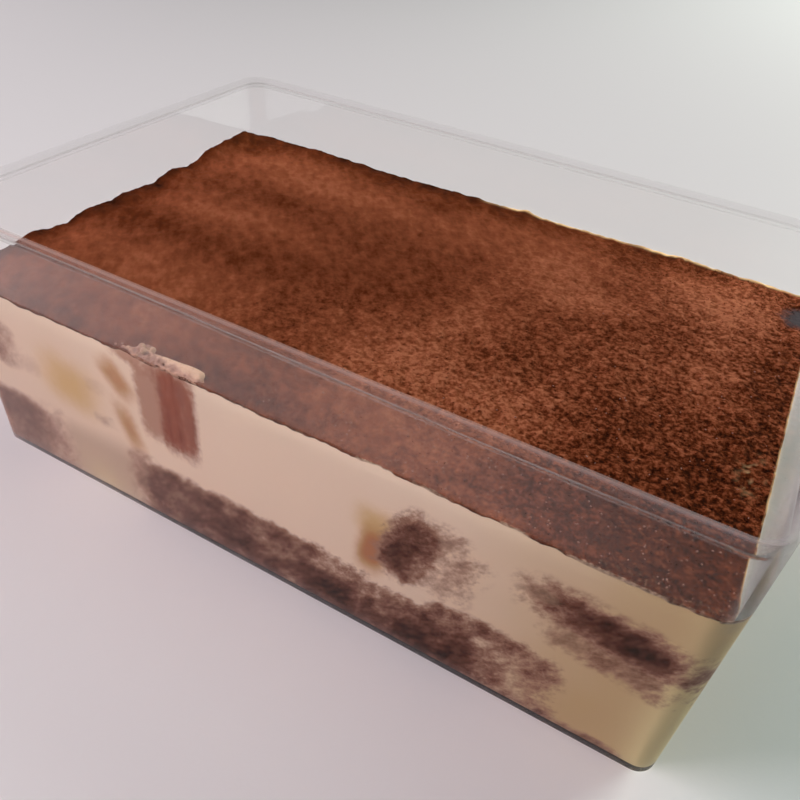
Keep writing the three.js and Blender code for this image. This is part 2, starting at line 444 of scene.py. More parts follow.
@dataclass(frozen=True)
class ClearPlastic:
    """Rigid clear plastic with a faint gloss, and a rounded rim that scatters light.

    The mesh says on its points where the rim is (`rim`), how much of it is seen
    (`cover`) and how much of the dark food's colour is painted on it (`warm`),
    standing in for the food seen through the rim. The gloss fades towards the
    right, and starts to do so later above the food. Its pairs are places in
    metres, where a fade starts and where it is full.
    """

    tint: Colour = (0.995, 0.995, 0.99, 1.0)
    shadow: Colour = (0.93, 0.94, 0.94, 1.0)
    frost: Colour = srgb(190, 184, 184)
    # The front frost, painted with the colour of the food seen through it.
    frost_painted_food_colour: Colour = srgb(203, 177, 168)
    bending: float = 1.49
    roughness: float = 0.012
    calm_beside_food: float = 0.62
    calm_over_food: float = 0.6
    fades_beside_food: Pair = (-0.11, 0.07)
    fades_over_food: Pair = (0.036, 0.062)
    food_ends: Pair = (0.036, 0.0385)

    def build(self) -> bpy.types.Material:
        """Make the material. Lamps shine through it, as through the thin real wall.

        Returns:
            The material.
        """
        s = Shader("clear_plastic")
        rim = s.attribute("rim")
        glossy = s.surface(
            s.blend(rim, self.tint, s.blend(s.attribute("warm"), self.frost, self.frost_painted_food_colour)),
            self.roughness,
            IOR=self.bending,
            Specular_IOR_Level=0.0,
            Transmission_Weight=s.left_over(rim),
            Alpha=s.left_over(s.product(rim, s.left_over(s.attribute("cover")))),
        )
        inputs = {"Color": self.tint, "Roughness": self.roughness, "IOR": self.bending}
        plain = s.add("BsdfRefraction", inputs).outputs[0]
        below = s.step(s.axis("X"), *self.fades_beside_food, to=(0.0, self.calm_beside_food))
        above = s.step(s.axis("X"), *self.fades_over_food, to=(0.0, self.calm_over_food))
        over_food = s.step(s.axis("Z"), *self.food_ends)
        calm = s.total(s.product(below, s.left_over(over_food)), s.product(above, over_food))
        calm = s.product(calm, s.left_over(rim))
        body = s.add("MixShader", {0: calm, 1: glossy, 2: plain}).outputs[0]
        clear = s.add("BsdfTransparent", {"Color": self.shadow}).outputs[0]
        lamp = s.add("LightPath").outputs["Is Shadow Ray"]
        return s.finish(s.add("MixShader", {0: lamp, 1: body, 2: clear}).outputs[0])


@dataclass(frozen=True)
class LayeredFood:
    """Cream with soaked and dry sponge pressed against a clear wall.

    One finish serves the cream and every sponge finger, so that the crumb fades
    into the cream as softly as it does where a film of cream covers it. Its
    numbers on the mesh say how much of each shows.
    """

    cream: Colour = srgb(249, 224, 201)
    # Painted shade: the darker, yellower cream where the light falls off towards the right.
    cream_in_painted_shade: Colour = srgb(211, 181, 138)
    # Painted light at the right front corner; also the yellow cream between the lower fingers.
    cream_yellow_and_painted_light: Colour = srgb(243, 225, 171)
    cream_dilute: Colour = srgb(206, 178, 154)
    crumb_pale: Colour = srgb(174, 132, 111)
    crumb_mid: Colour = srgb(122, 78, 62)
    crumb_dark: Colour = srgb(84, 42, 28)
    crumb_core: Colour = srgb(44, 20, 8)
    dry: Colour = srgb(218, 180, 114)
    tan: Colour = srgb(200, 150, 98)
    tan_dark: Colour = srgb(184, 110, 60)
    film: Colour = srgb(176, 119, 94)
    smear: Colour = srgb(162, 80, 52)
    smear_dark: Colour = srgb(124, 54, 32)
    roughness: float = 0.5
    lumps: float = 0.12
    dry_share: float = 0.85
    tan_share: float = 0.9
    film_share: float = 0.8
    smear_share: float = 0.92

    def share(self, s: Shader, name: str, low: float, high: float) -> Socket:
        """How much of one stain shows, from none at low to all at high, with a lumpy edge."""
        broad, fine = s.wobble(3.0, 0.45 * self.lumps, detail=2.0), s.wobble(1.0, 0.35 * self.lumps)
        return s.step(s.total(s.attribute(name), broad, fine), low, high)

    def cream_colour(self, s: Shader) -> Socket:
        """Cream, with painted shade towards the right end, and yellower at its right front corner, where
        this is painted light.

        Args:
            s: the material being built.

        Returns:
            The colour.
        """
        # Painted shade towards the right end, where the light falls off.
        painted_shade = s.total(s.attribute("painted_shade"), s.wobble(20.0, 0.10, detail=2.0))
        colour = s.blend(s.step(painted_shade, 0.0, 1.0), self.cream, self.cream_in_painted_shade)
        colour = s.blend(s.attribute("dilute"), colour, self.cream_dilute)
        # Painted light at the right front corner, and yellow cream between the lower fingers.
        return s.blend(s.step(s.attribute("corner"), 0.0, 1.0), colour, self.cream_yellow_and_painted_light)

    def crumb(self, s: Shader, under: Socket) -> Socket:
        """Lay the soaked crumb over the cream: thin at its edge, dark inside.

        It is smoother towards the left end.

        Args:
            s: the material being built.
            under: the colour below it.

        Returns:
            The colour.
        """
        soaked, along = s.attribute("soak"), s.axis("X")
        across = {"squash": (0.6, 1.0, 1.0), "turn": (0, -45, 0)}
        fine = s.total(s.wobble(1.0, 0.21, detail=4.0, **across), s.wobble(0.5, 0.10, detail=2.0))
        broad = s.wobble(2.6, 0.28, detail=2.0, **across)
        mottle = s.total(
            s.product(broad, s.step(along, -0.06, 0.0, to=(0.5, 1.0))),
            s.product(fine, s.step(along, -0.03, 0.03, to=(0.22, 1.0))),
        )
        depth = s.total(
            s.product(soaked, s.attribute("tone")),
            s.product(mottle, s.step(soaked, 0.0, 0.4), 0.75),
        )
        stops = (
            (0.0, self.crumb_pale),
            (0.38, self.crumb_pale),
            (0.62, self.crumb_mid),
            (0.82, self.crumb_dark),
            (1.0, self.crumb_core),
        )
        cover = s.product(s.step(depth, 0.06, 0.46), s.attribute("soak_strength"))
        return s.blend(cover, under, s.ramp(depth, stops))

    def dragged(self, s: Shader, name: str, streak: Socket, grain: float) -> Socket:
        """How much of a stain with upright streaks shows, with a soft edge.

        Args:
            s: the material being built.
            name: the number on the mesh.
            streak: the streaks.
            grain: how strong the grain between them is.

        Returns:
            The share in 0..1.
        """
        stain = s.attribute(name)
        uneven = s.total(s.product(streak, 0.4), s.wobble(1.1, grain))
        return s.step(s.total(stain, s.product(uneven, s.step(stain, 0.0, 0.3))), 0.1, 1.0)

    def on_the_wall(self, s: Shader, under: Socket) -> Socket:
        """Lay the cocoa that was dragged down the wall over the rest, a thin film first.

        Args:
            s: the material being built.
            under: the colour below it.

        Returns:
            The colour.
        """
        streak = s.wobble(1.5, 0.3, squash=(1, 1, 0.22))
        film = s.product(self.dragged(s, "film", streak, 0.2), self.film_share)
        colour = s.blend(film, under, self.film)
        red = s.blend(s.step(s.total(streak, 0.5), 0.1, 1.1), self.smear, self.smear_dark)
        return s.blend(s.product(self.dragged(s, "smear", streak, 0.15), self.smear_share), colour, red)

    def build(self) -> bpy.types.Material:
        """Make the material.

        Returns:
            The material.
        """
        s = Shader("layered_food")
        dry = s.product(self.share(s, "dry", 0.0, 1.0), self.dry_share)
        colour = s.blend(dry, self.cream_colour(s), self.dry)
        tan = s.blend(s.step(s.attribute("tan"), 0.55, 1.0), self.tan, self.tan_dark)
        colour = s.blend(s.product(self.share(s, "tan", 0.05, 0.8), self.tan_share), colour, tan)
        colour = self.on_the_wall(s, self.crumb(s, colour))
        normal = s.bump(s.noise(1.1, detail=4.0), 0.03)
        return s.finish(s.surface(colour, self.roughness, Specular_IOR_Level=0.0, Normal=normal))


@dataclass(frozen=True)
class CocoaDust:
    """Dry cocoa, darker where it is moist, with painted shade in its pits and painted light on its clots.
    """

    pale: Colour = srgb(166, 102, 72)
    plain: Colour = srgb(128, 70, 44)
    moist: Colour = srgb(84, 38, 17)
    # The darkest stop: moist cocoa, and painted shade in the pits.
    pit: Colour = srgb(40, 15, 4)
    cream: Colour = srgb(236, 198, 144)
    seam: Colour = srgb(214, 184, 160)
    # A grey spot at the back right corner.
    grey_spot: Colour = srgb(70, 66, 68)
    roughness: float = 0.9
    dry_tone: float = 0.82
    wet_tone: float = -0.44

    def grain(self, s: Shader, coarse: Socket) -> Socket:
        """Clots and pits, their own tone with painted light on the clots and painted shade in the pits:
        fine and soft where the cocoa is smooth, strong where it is coarse.

        Args:
            s: the material being built.
            coarse: how coarse the cocoa is.

        Returns:
            How much lighter it is than plain cocoa.
        """
        # Painted light and shade: the crests of the clots and of the crust's relief are lighter, the pits
        # between them darker.
        worm = s.noise(0.70, roughness=0.62, bend=0.1)
        clots_lit_pits_shaded = s.total(
            s.step(worm, 0.30, 0.70, to=(-0.62, 0.54)),
            s.product(s.attribute("relief"), 0.30),
            s.wobble(0.4, 0.12, detail=2.0),
        )
        away = {"squash": (0.55, 1.0, 1.0), "turn": (0, 0, 129)}
        blotch = s.wobble(1.3, 0.46, **away)
        grain = s.total(
            s.product(clots_lit_pits_shaded, s.step(coarse, 0.16, 0.5)),
            s.product(blotch, s.step(coarse, 0.16, 0.58, to=(1.0, 0.4))),
        )
        clump = s.product(s.wobble(2.2, 0.12, detail=2.0, **away), s.step(coarse, 0.56, 0.3))
        return s.total(clump, s.product(grain, coarse))

    def build(self) -> bpy.types.Material:
        """Make the material.

        Returns:
            The material.
        """
        s = Shader("cocoa")
        moist = s.total(s.attribute("moist"), s.wobble(2.8, 0.10))
        grain = self.grain(s, s.attribute("coarse"))
        tone = s.total(self.dry_tone, s.product(moist, self.wet_tone), grain)
        stops = ((0.0, self.pit), (0.34, self.moist), (0.66, self.plain), (1.0, self.pale))
        colour = s.blend(s.attribute("cream_show"), s.ramp(tone, stops), self.cream)
        seam = s.total(s.attribute("seam"), s.wobble(0.55, 0.22, detail=2.0))
        colour = s.blend(s.step(seam, 0.35, 1.0), colour, self.seam)
        grey_spot = s.total(s.attribute("grey_spot"), s.wobble(1.5, 0.2))
        colour = s.blend(s.step(grey_spot, 0.2, 0.8), colour, self.grey_spot)
        normal = s.bump(s.noise(0.5, roughness=0.7), 0.16)
        return s.finish(s.surface(colour, self.roughness, Specular_IOR_Level=0.02, Normal=normal))


@dataclass(frozen=True)
class CreamRidge:
    """Cream squeezed up over the crust, with a dusting of cocoa and painted shade on its lower side.

    Its pairs are places in metres, where a fade starts and where it is full.
    """

    cream: Colour = srgb(212, 174, 142)
    # Painted shade: the warmer colour of the ridge's lower side.
    warm: Colour = srgb(176, 126, 104)
    dust: Colour = srgb(138, 90, 70)
    roughness: float = 0.5
    painted_shade_below: Pair = (0.0376, 0.0368)
    dusted_left_of: Pair = (-0.0165, -0.0205)

    def build(self) -> bpy.types.Material:
        """Make the material.

        Returns:
            The material.
        """
        s = Shader("cream_ridge")
        uneven = s.product(s.wobble(1.3, 0.35), MM)
        # Painted shade on the lower side, which also takes a little more dust.
        low = s.step(s.total(s.axis("Z"), uneven), *self.painted_shade_below)
        left = s.step(s.axis("X"), *self.dusted_left_of)
        colour = s.blend(s.product(low, 0.8), self.cream, self.warm)
        cover = s.total(s.product(left, 0.3), s.product(low, 0.2), s.wobble(0.8, 0.3))
        colour = s.blend(s.step(cover, 0.0, 0.5, to=(0.0, 0.8)), colour, self.dust)
        normal = s.bump(s.noise(0.6), 0.12)
        return s.finish(s.surface(colour, self.roughness, Specular_IOR_Level=0.3, Normal=normal))


@dataclass(frozen=True)
class GlintCrumb:
    """Small crumbs whose pale colour is a painted glint on the moist cocoa."""

    colour: Colour = srgb(146, 103, 86)
    roughness: float = 0.4

    def build(self) -> bpy.types.Material:
        """Make the material."""
        s = Shader("pale_glint_crumb")
        return s.finish(s.surface(self.colour, self.roughness))


@dataclass(frozen=True)
class PaleTable:
    """A pale table top, with painted light and shade on it."""

    # Painted light and shade: lighter far off, painted shade at the left, and the tray's painted shadow at
    # its right.
    near: Colour = srgb(230, 230, 230)
    far: Colour = srgb(248, 248, 248)
    left: Colour = srgb(212, 213, 213)
    right: Colour = srgb(214, 223, 223)
    roughness: float = 0.55

    def build(self) -> bpy.types.Material:
        """Make the material: lighter far off in painted light, a little darker at the left in painted
        shade, and a painted shadow just right of the tray.

        Returns:
            The material.
        """
        s = Shader("pale_table")
        colour = s.blend(s.step(s.axis("Y"), 0.1, 0.6), self.near, self.far)
        colour = s.blend(s.step(s.axis("X"), 0.05, -0.30), colour, self.left)
        # Painted shadow of the tray, on the table just right of it.
        painted_tray_shadow = s.product(s.step(s.axis("X"), 0.055, 0.085), s.step(s.axis("Y"), 0.03, -0.01))
        colour = s.blend(painted_tray_shadow, colour, self.right)
        normal = s.bump(s.noise(0.8, detail=2.0), 0.01)
        return s.finish(s.surface(colour, self.roughness, Normal=normal))


# -------------------------------------------------------------------------- tray


@dataclass(frozen=True)
class TrayForm:
    """The tray's sizes, as in the frame, and the outlines that follow from them."""

    length: float = 132.0
    width: float = 85.0
    height: float = 50.0
    draft: float = 1.0
    wall: float = 1.2
    floor: float = 0.7
    corner_radius: float = 5.0
    base_corner_radius: float = 3.0
    base_radius: float = 0.4
    floor_fillet: float = 0.4
    rim_radius: float = 0.45

    def half_sizes(self, z: float, inset: float) -> Pair:
        """Half the length and width at a height, moved in from the outer face."""
        lean = self.draft * (1 - z / self.height)
        return self.length / 2 - lean - inset, self.width / 2 - lean - inset

    def radius(self, z: float, inset: float) -> float:
        """The rounding of the upright corners at a height, moved in from the outer face."""
        outside = self.base_corner_radius + (self.corner_radius - self.base_corner_radius) * z / self.height
        return max(0.4, outside - inset)

    def ring(self, z: float, inset: float, straight: tuple[int, int] = (1, 1), arc: int = 24) -> np.ndarray:
        """The outline at a height, anticlockwise from above.

        Args:
            z: its height.
            inset: how far it is moved in from the outer face.
            straight: steps along the long and the short sides.
            arc: steps round each corner.

        Returns:
            An N by 3 array.
        """
        half_x, half_y = self.half_sizes(z, inset)
        radius = self.radius(z, inset)
        corners = ((1, -1, -90), (1, 1, 0), (-1, 1, 90), (-1, -1, 180))
        arcs = []
        for sign_x, sign_y, start in corners:
            angle = np.radians(start + 90 * np.arange(arc + 1) / arc)
            centre = np.array([sign_x * (half_x - radius), sign_y * (half_y - radius)])
            arcs.append(centre + radius * np.stack([np.cos(angle), np.sin(angle)], 1))
        outline = []
        for k, corner in enumerate(arcs):
            steps = straight[1] if k % 2 == 0 else straight[0]
            share = (np.arange(1, steps) / steps)[:, None]
            following = arcs[(k + 1) % 4][0]
            outline += [corner, corner[-1] * (1 - share) + following * share]
        flat = np.vstack(outline)
        return np.column_stack([flat, np.full(len(flat), z)])


@dataclass
class Tray:
    """The open clear tray, whose rim and bends are frosted.

    Its pairs are places where a fade starts and where it is full.
    """

    form: TrayForm
    finish: ClearPlastic = ClearPlastic()
    rounding_steps: int = 6
    side_steps: tuple[int, int] = (8, 6)
    crisp_angle: float = 40.0
    front_wall: Pair = (-38.0, -41.0)
    right_wall: Pair = (61.0, 64.0)
    inner_frost: float = 48.8
    inner_shift_in_front: float = -1.7
    outer_frost: float = 47.8
    outer_shift_in_front: float = 0.4
    frost_edge: float = 0.15
    slim_along: Pair = (40.0, -25.0)
    slimmer: float = 0.95
    faint_along: Pair = (20.0, 60.0)
    outer_band: Pair = (48.2, 49.0)
    top_edge: Pair = (49.75, 49.95)
    top_cover: float = 0.22
    bend_x: Pair = (62.3, 64.6)
    bend_y: Pair = (-22.0, -32.0)
    bend_z: Pair = (37.2, 38.6)
    bend_cover: float = 0.10
    bend_frost: float = 0.85
    base_z: Pair = (1.3, 0.7)
    base_cover: float = 0.35
    base_frost: float = 0.09
    cools_along: Pair = (38.0, 58.0)
    cooler: float = 0.8

    def profile(self) -> list[Pair]:
        """Height and inset of each ring: up the outside, over the rim, down inside.

        Returns:
            The pairs. Below the rim they lie close together, where the frost starts.
        """
        f = self.form
        quarter = np.linspace(0, math.pi / 2, self.rounding_steps + 1)
        steps = [(f.base_radius * (1 - math.cos(a)), f.base_radius * (1 - math.sin(a))) for a in quarter]
        levels = [*np.linspace(4, 44, 5), *np.arange(45.5, 49.4, 0.3)]
        steps += [(z, 0.0) for z in levels]
        rim = f.rim_radius
        for a in quarter:
            steps.append((f.height - rim + rim * math.sin(a), rim * (1 - math.cos(a))))
        for a in quarter:
            steps.append((f.height - rim + rim * math.cos(a), f.wall - rim + rim * math.sin(a)))
        steps += [(z, f.wall) for z in levels[::-1]]
        fillet = f.floor_fillet
        for a in quarter[::-1]:
            steps.append((f.floor + fillet * (1 - math.cos(a)), f.wall + fillet * (1 - math.sin(a))))
        return steps

    def rim_frost(self, x: np.ndarray, z: np.ndarray, front: np.ndarray, inside: np.ndarray) -> np.ndarray:
        """How frosted the rim is.

        It starts lower on the face that light leaves by than on the one that it
        comes in by, so that no light is caught inside the wall between them. At
        the left of the front wall the rim is slimmer.

        Args:
            x, z: the places of the points.
            front: how far each is on the front wall.
            inside: whether it is on the inner face.

        Returns:
            A share in 0..1 for each point.
        """
        inner = self.inner_frost + self.inner_shift_in_front * front
        outer = self.outer_frost + self.outer_shift_in_front * front
        slim = self.slimmer * (front * smoothstep(*self.slim_along, x))
        return smoothstep(-self.frost_edge, self.frost_edge, z - (np.where(inside, inner, outer) + slim))

    def rim_cover(self, x: np.ndarray, z: np.ndarray, front: np.ndarray, inside: np.ndarray) -> np.ndarray:
        """How much is seen of the frosted rim: most at its top edge and outside in front.

        Args:
            x, z: the places of the points.
            front: how far each is on the front wall.
            inside: whether it is on the inner face.

        Returns:
            A share in 0..1 for each point.
        """
        right = smoothstep(*self.right_wall, x) * (1 - front)
        strong = 0.20 - 0.06 * smoothstep(*self.faint_along, x)
        outer = 0.05 + front * (0.01 + strong * smoothstep(*self.outer_band, z)) + 0.2 * right
        inner = 0.09 - 0.03 * front + 0.25 * right
        return np.where(inside, inner, outer) + self.top_cover * front * smoothstep(*self.top_edge, z)

    def store_frost(self, tray: Thing, ring_count: int) -> None:
        """Say on the points where the frost is, how much is seen of it and how much of the food's colour is
        painted on it.

        Args:
            tray: the tray's mesh.
            ring_count: how many points each of its rings has.
        """
        x, y, z = mesh_points(tray).T
        inset = np.repeat([inset for _, inset in self.profile()], ring_count)
        inside = np.append(inset > self.form.wall / 2, [False, True])
        front = smoothstep(*self.front_wall, y)
        rim = self.rim_frost(x, z, front, inside)
        bend = smoothstep(*self.bend_x, x) * smoothstep(*self.bend_y, y) * smoothstep(*self.bend_z, z)
        base = self.base_frost * smoothstep(*self.base_z, z) * ~inside
        cover = np.where(rim < bend, self.bend_cover, self.rim_cover(x, z, front, inside))
        store(tray, "rim", np.maximum(np.maximum(rim, self.bend_frost * bend), base))
        store(tray, "cover", np.where(base > 0, self.base_cover, cover))
        # The food's colour painted on the front rim, less towards the right.
        store(tray, "warm", front * (1 - bend) * (1 - self.cooler * smoothstep(*self.cools_along, x)))

    def build(self) -> Thing:
        """Make and dress the tray.

        Returns:
            The tray.
        """
        rings = [self.form.ring(z, inset, self.side_steps) for z, inset in self.profile()]
        tray = make_object("clear_tray", *skin(rings))
        self.store_frost(tray, len(rings[0]))
        shade(tray, self.crisp_angle)
        tray.data.materials.append(self.finish.build())
        return tray


# ---------------------------------------------------------------------- the crust


@dataclass(frozen=True)
class Patch:
    """A soft-edged area of the crust: middle, half sizes and how strong it is."""

    x: float
    y: float
    half_x: float
    half_y: float
    strength: float

    def far(self, x: np.ndarray, y: np.ndarray) -> np.ndarray:
        """How far each place is from its middle, squared: 1 at its half sizes."""
        return ((x - self.x) / self.half_x) ** 2 + ((y - self.y) / self.half_y) ** 2

    def cover(self, x: np.ndarray, y: np.ndarray) -> np.ndarray:
        """Its share at each place."""
        return self.strength * np.exp(-self.far(x, y))


@dataclass(frozen=True)
class Border:
    """A band along a wall: its share at the wall, its reach and how abruptly it ends."""

    strength: float
    reach: float
    power: int = 2

    def cover(self, distance: np.ndarray) -> np.ndarray:
        """Its share at each distance from the wall."""
        return self.strength * np.exp(-((distance / self.reach) ** self.power))


# Cocoa heaped against a wall, as middle along it, half width and height. A height
# below zero is a hollow. The frame's solid has the same heaps.
LEFT_HEAPS = (
    (-25.0, 3.5, 0.8),
    (-17.5, 1.8, -0.6),
    (-12.0, 2.2, 0.25),
    (-7.0, 1.3, -0.35),
    (-2.5, 2.8, 0.6),
    (5.0, 2.0, -0.5),
    (11.0, 2.1, 1.0),
    (15.5, 1.2, -0.4),
    (23.0, 3.6, 1.55),
    (29.5, 4.6, 1.9),
    (35.8, 3.4, 1.95),
)
BACK_HEAPS = ((-48.0, 8.0, 0.4), (6.5, 1.6, 0.7), (31.0, 2.0, 0.3), (40.0, 4.5, 0.55))


def heaped(heaps: Sequence[Triple], along: np.ndarray, out: np.ndarray, reach: float) -> np.ndarray:
    """How much heaps raise each place, given how far it is along a wall and out from it."""
    rise = sum(height * np.exp(-(((along - middle) / half) ** 2)) for middle, half, height in heaps)
    return rise * np.exp(-((out / reach) ** 2))


@dataclass(frozen=True)
class CrustForm:
    """The height of the cocoa surface. The broad form is that of the frame's solid."""

    tray: TrayForm
    level: float = 36.6
    crumb: float = 0.28
    swell: float = 0.35
    left_reach: float = 4.0
    back_reach: float = 4.0
    grain: float = 0.2
    clod: float = 0.12
    edge_lump: float = 0.3

    def broad(self, x: np.ndarray, y: np.ndarray) -> np.ndarray:
        """The surface without its fine grain.

        Args:
            x, y: places, of one shape.

        Returns:
            The height at every place.
        """
        from_left = x + self.tray.length / 2
        from_back = self.tray.width / 2 - y
        swell = noise2(x / 26, y / 21, 11) + 0.6 * noise2(x / 11, y / 12, 12)
        crumb = noise2(x / 2.6, y / 2.4, 13) + 0.7 * noise2(x / 4.9, y / 5.3, 14)
        raised = heaped(LEFT_HEAPS, y, from_left, self.left_reach)
        raised = raised + heaped(BACK_HEAPS, x, from_back, self.back_reach)
        lumps = noise2(y / 1.9, x / 3.0, 15) + 0.6 * noise2(y / 1.0, x / 1.6, 16)
        raised = raised + self.edge_lump * lumps * np.exp(-from_left / 4.5)
        return self.level + raised + 0.6 * self.swell * swell + 0.6 * self.crumb * crumb

    def coarseness(self, x: np.ndarray, y: np.ndarray) -> np.ndarray:
        """How crumbly the cocoa is: sifted smooth at the left and back, clotted at the right.

        Args:
            x, y: places, of one shape.

        Returns:
            A share at every place, less behind the front wall.
        """
        across = smoothstep(-50, 78, x - 0.75 * y + 7 * noise2(x / 13, y / 11, 31))
        behind_wall = smoothstep(-27, -31, y)
        return (0.19 + 0.39 * across) * (1 - 0.32 * behind_wall)

    def grains(self, x: np.ndarray, y: np.ndarray) -> np.ndarray:
        """The fine grain alone: bent crumbs with gaps between them.

        Args:
            x, y: places, of one shape.

        Returns:
            Its height at every place, from -1 to 1.
        """
        u, v = rotated(x, y, 31)
        bend_u = 0.7 * noise2(u / 1.7, v / 1.5, 43)
        bend_v = 0.7 * noise2(u / 1.4 + 5, v / 1.8, 44)
        worm = noise2(u / 1.0 + bend_u, v / 0.8 + bend_v, 41)
        p, q = rotated(x, y, -17)
        worm = worm + 0.7 * noise2(p / 0.7 + bend_v, q / 0.65, 42)
        return np.tanh(1.4 * worm)

    def height(self, x: np.ndarray, y: np.ndarray) -> np.ndarray:
        """The whole surface.

        Args:
            x, y: places, of one shape.

        Returns:
            The height at every place.
        """
        coarse = self.coarseness(x, y)
        fine = self.grain * (0.2 + coarse) * self.grains(x, y)
        clods = self.clod * coarse * np.maximum(0, noise2(x / 1.9 + 9, y / 1.7, 51))
        return self.broad(x, y) + fine + clods


# Moister, darker areas on top of the crust, and drier, paler ones below zero.
PATCHES = (
    Patch(-64, 3, 5.5, 4.5, 0.8),
    Patch(-66, -12, 4.5, 22, 0.4),
    Patch(-60, 34, 5.4, 5.3, 0.65),
    Patch(-53, -8, 25, 3.7, 0.2),
    Patch(-44, 3, 22, 6.6, -0.6),
    Patch(-36, -22, 23, 9.2, -0.6),
    Patch(-31, 29, 40, 11.5, -0.7),
    Patch(-26, 36, 22, 6.3, 0.65),
    Patch(-36, 14, 5, 3, 0.25),
    Patch(-11, 30, 8, 4.7, 0.3),
    Patch(8, -21, 10, 12, -0.7),
    Patch(13, -3, 4.7, 10.5, -0.4),
    Patch(19, 37, 25, 3.1, 0.5),
    Patch(21, 29, 10, 25, -0.45),
    Patch(25, 33, 9.5, 3.3, 0.45),
    Patch(27, -22, 11, 7.4, -0.7),
    Patch(29, 15, 8.8, 4.6, -0.55),
    Patch(38, -4, 3.2, 8.2, 0.25),
    Patch(46, -3, 12, 7.4, -0.7),
    Patch(50, -4, 8, 7.1, 0.65),
    Patch(50, 29, 12.4, 8.7, -0.7),
    Patch(52, 4, 5.2, 30, -0.4),
    Patch(55, -23, 15, 17, 0.55),
    Patch(61, 4, 3.5, 15, 0.35),
    Patch(62, 34, 3, 4, 0.5),
    Patch(-20, -36, 60, 8, -0.25),
    Patch(21, -34, 9, 6, -0.3),
    Patch(55, -38, 12, 7, 0.4),
    Patch(-6, -38.5, 14, 3.0, 0.45),
    Patch(-43, -39, 6, 2.0, 0.35),
    Patch(-28, -32, 8, 4, -0.2),
    Patch(37, -33, 8, 4, 0.25),
)


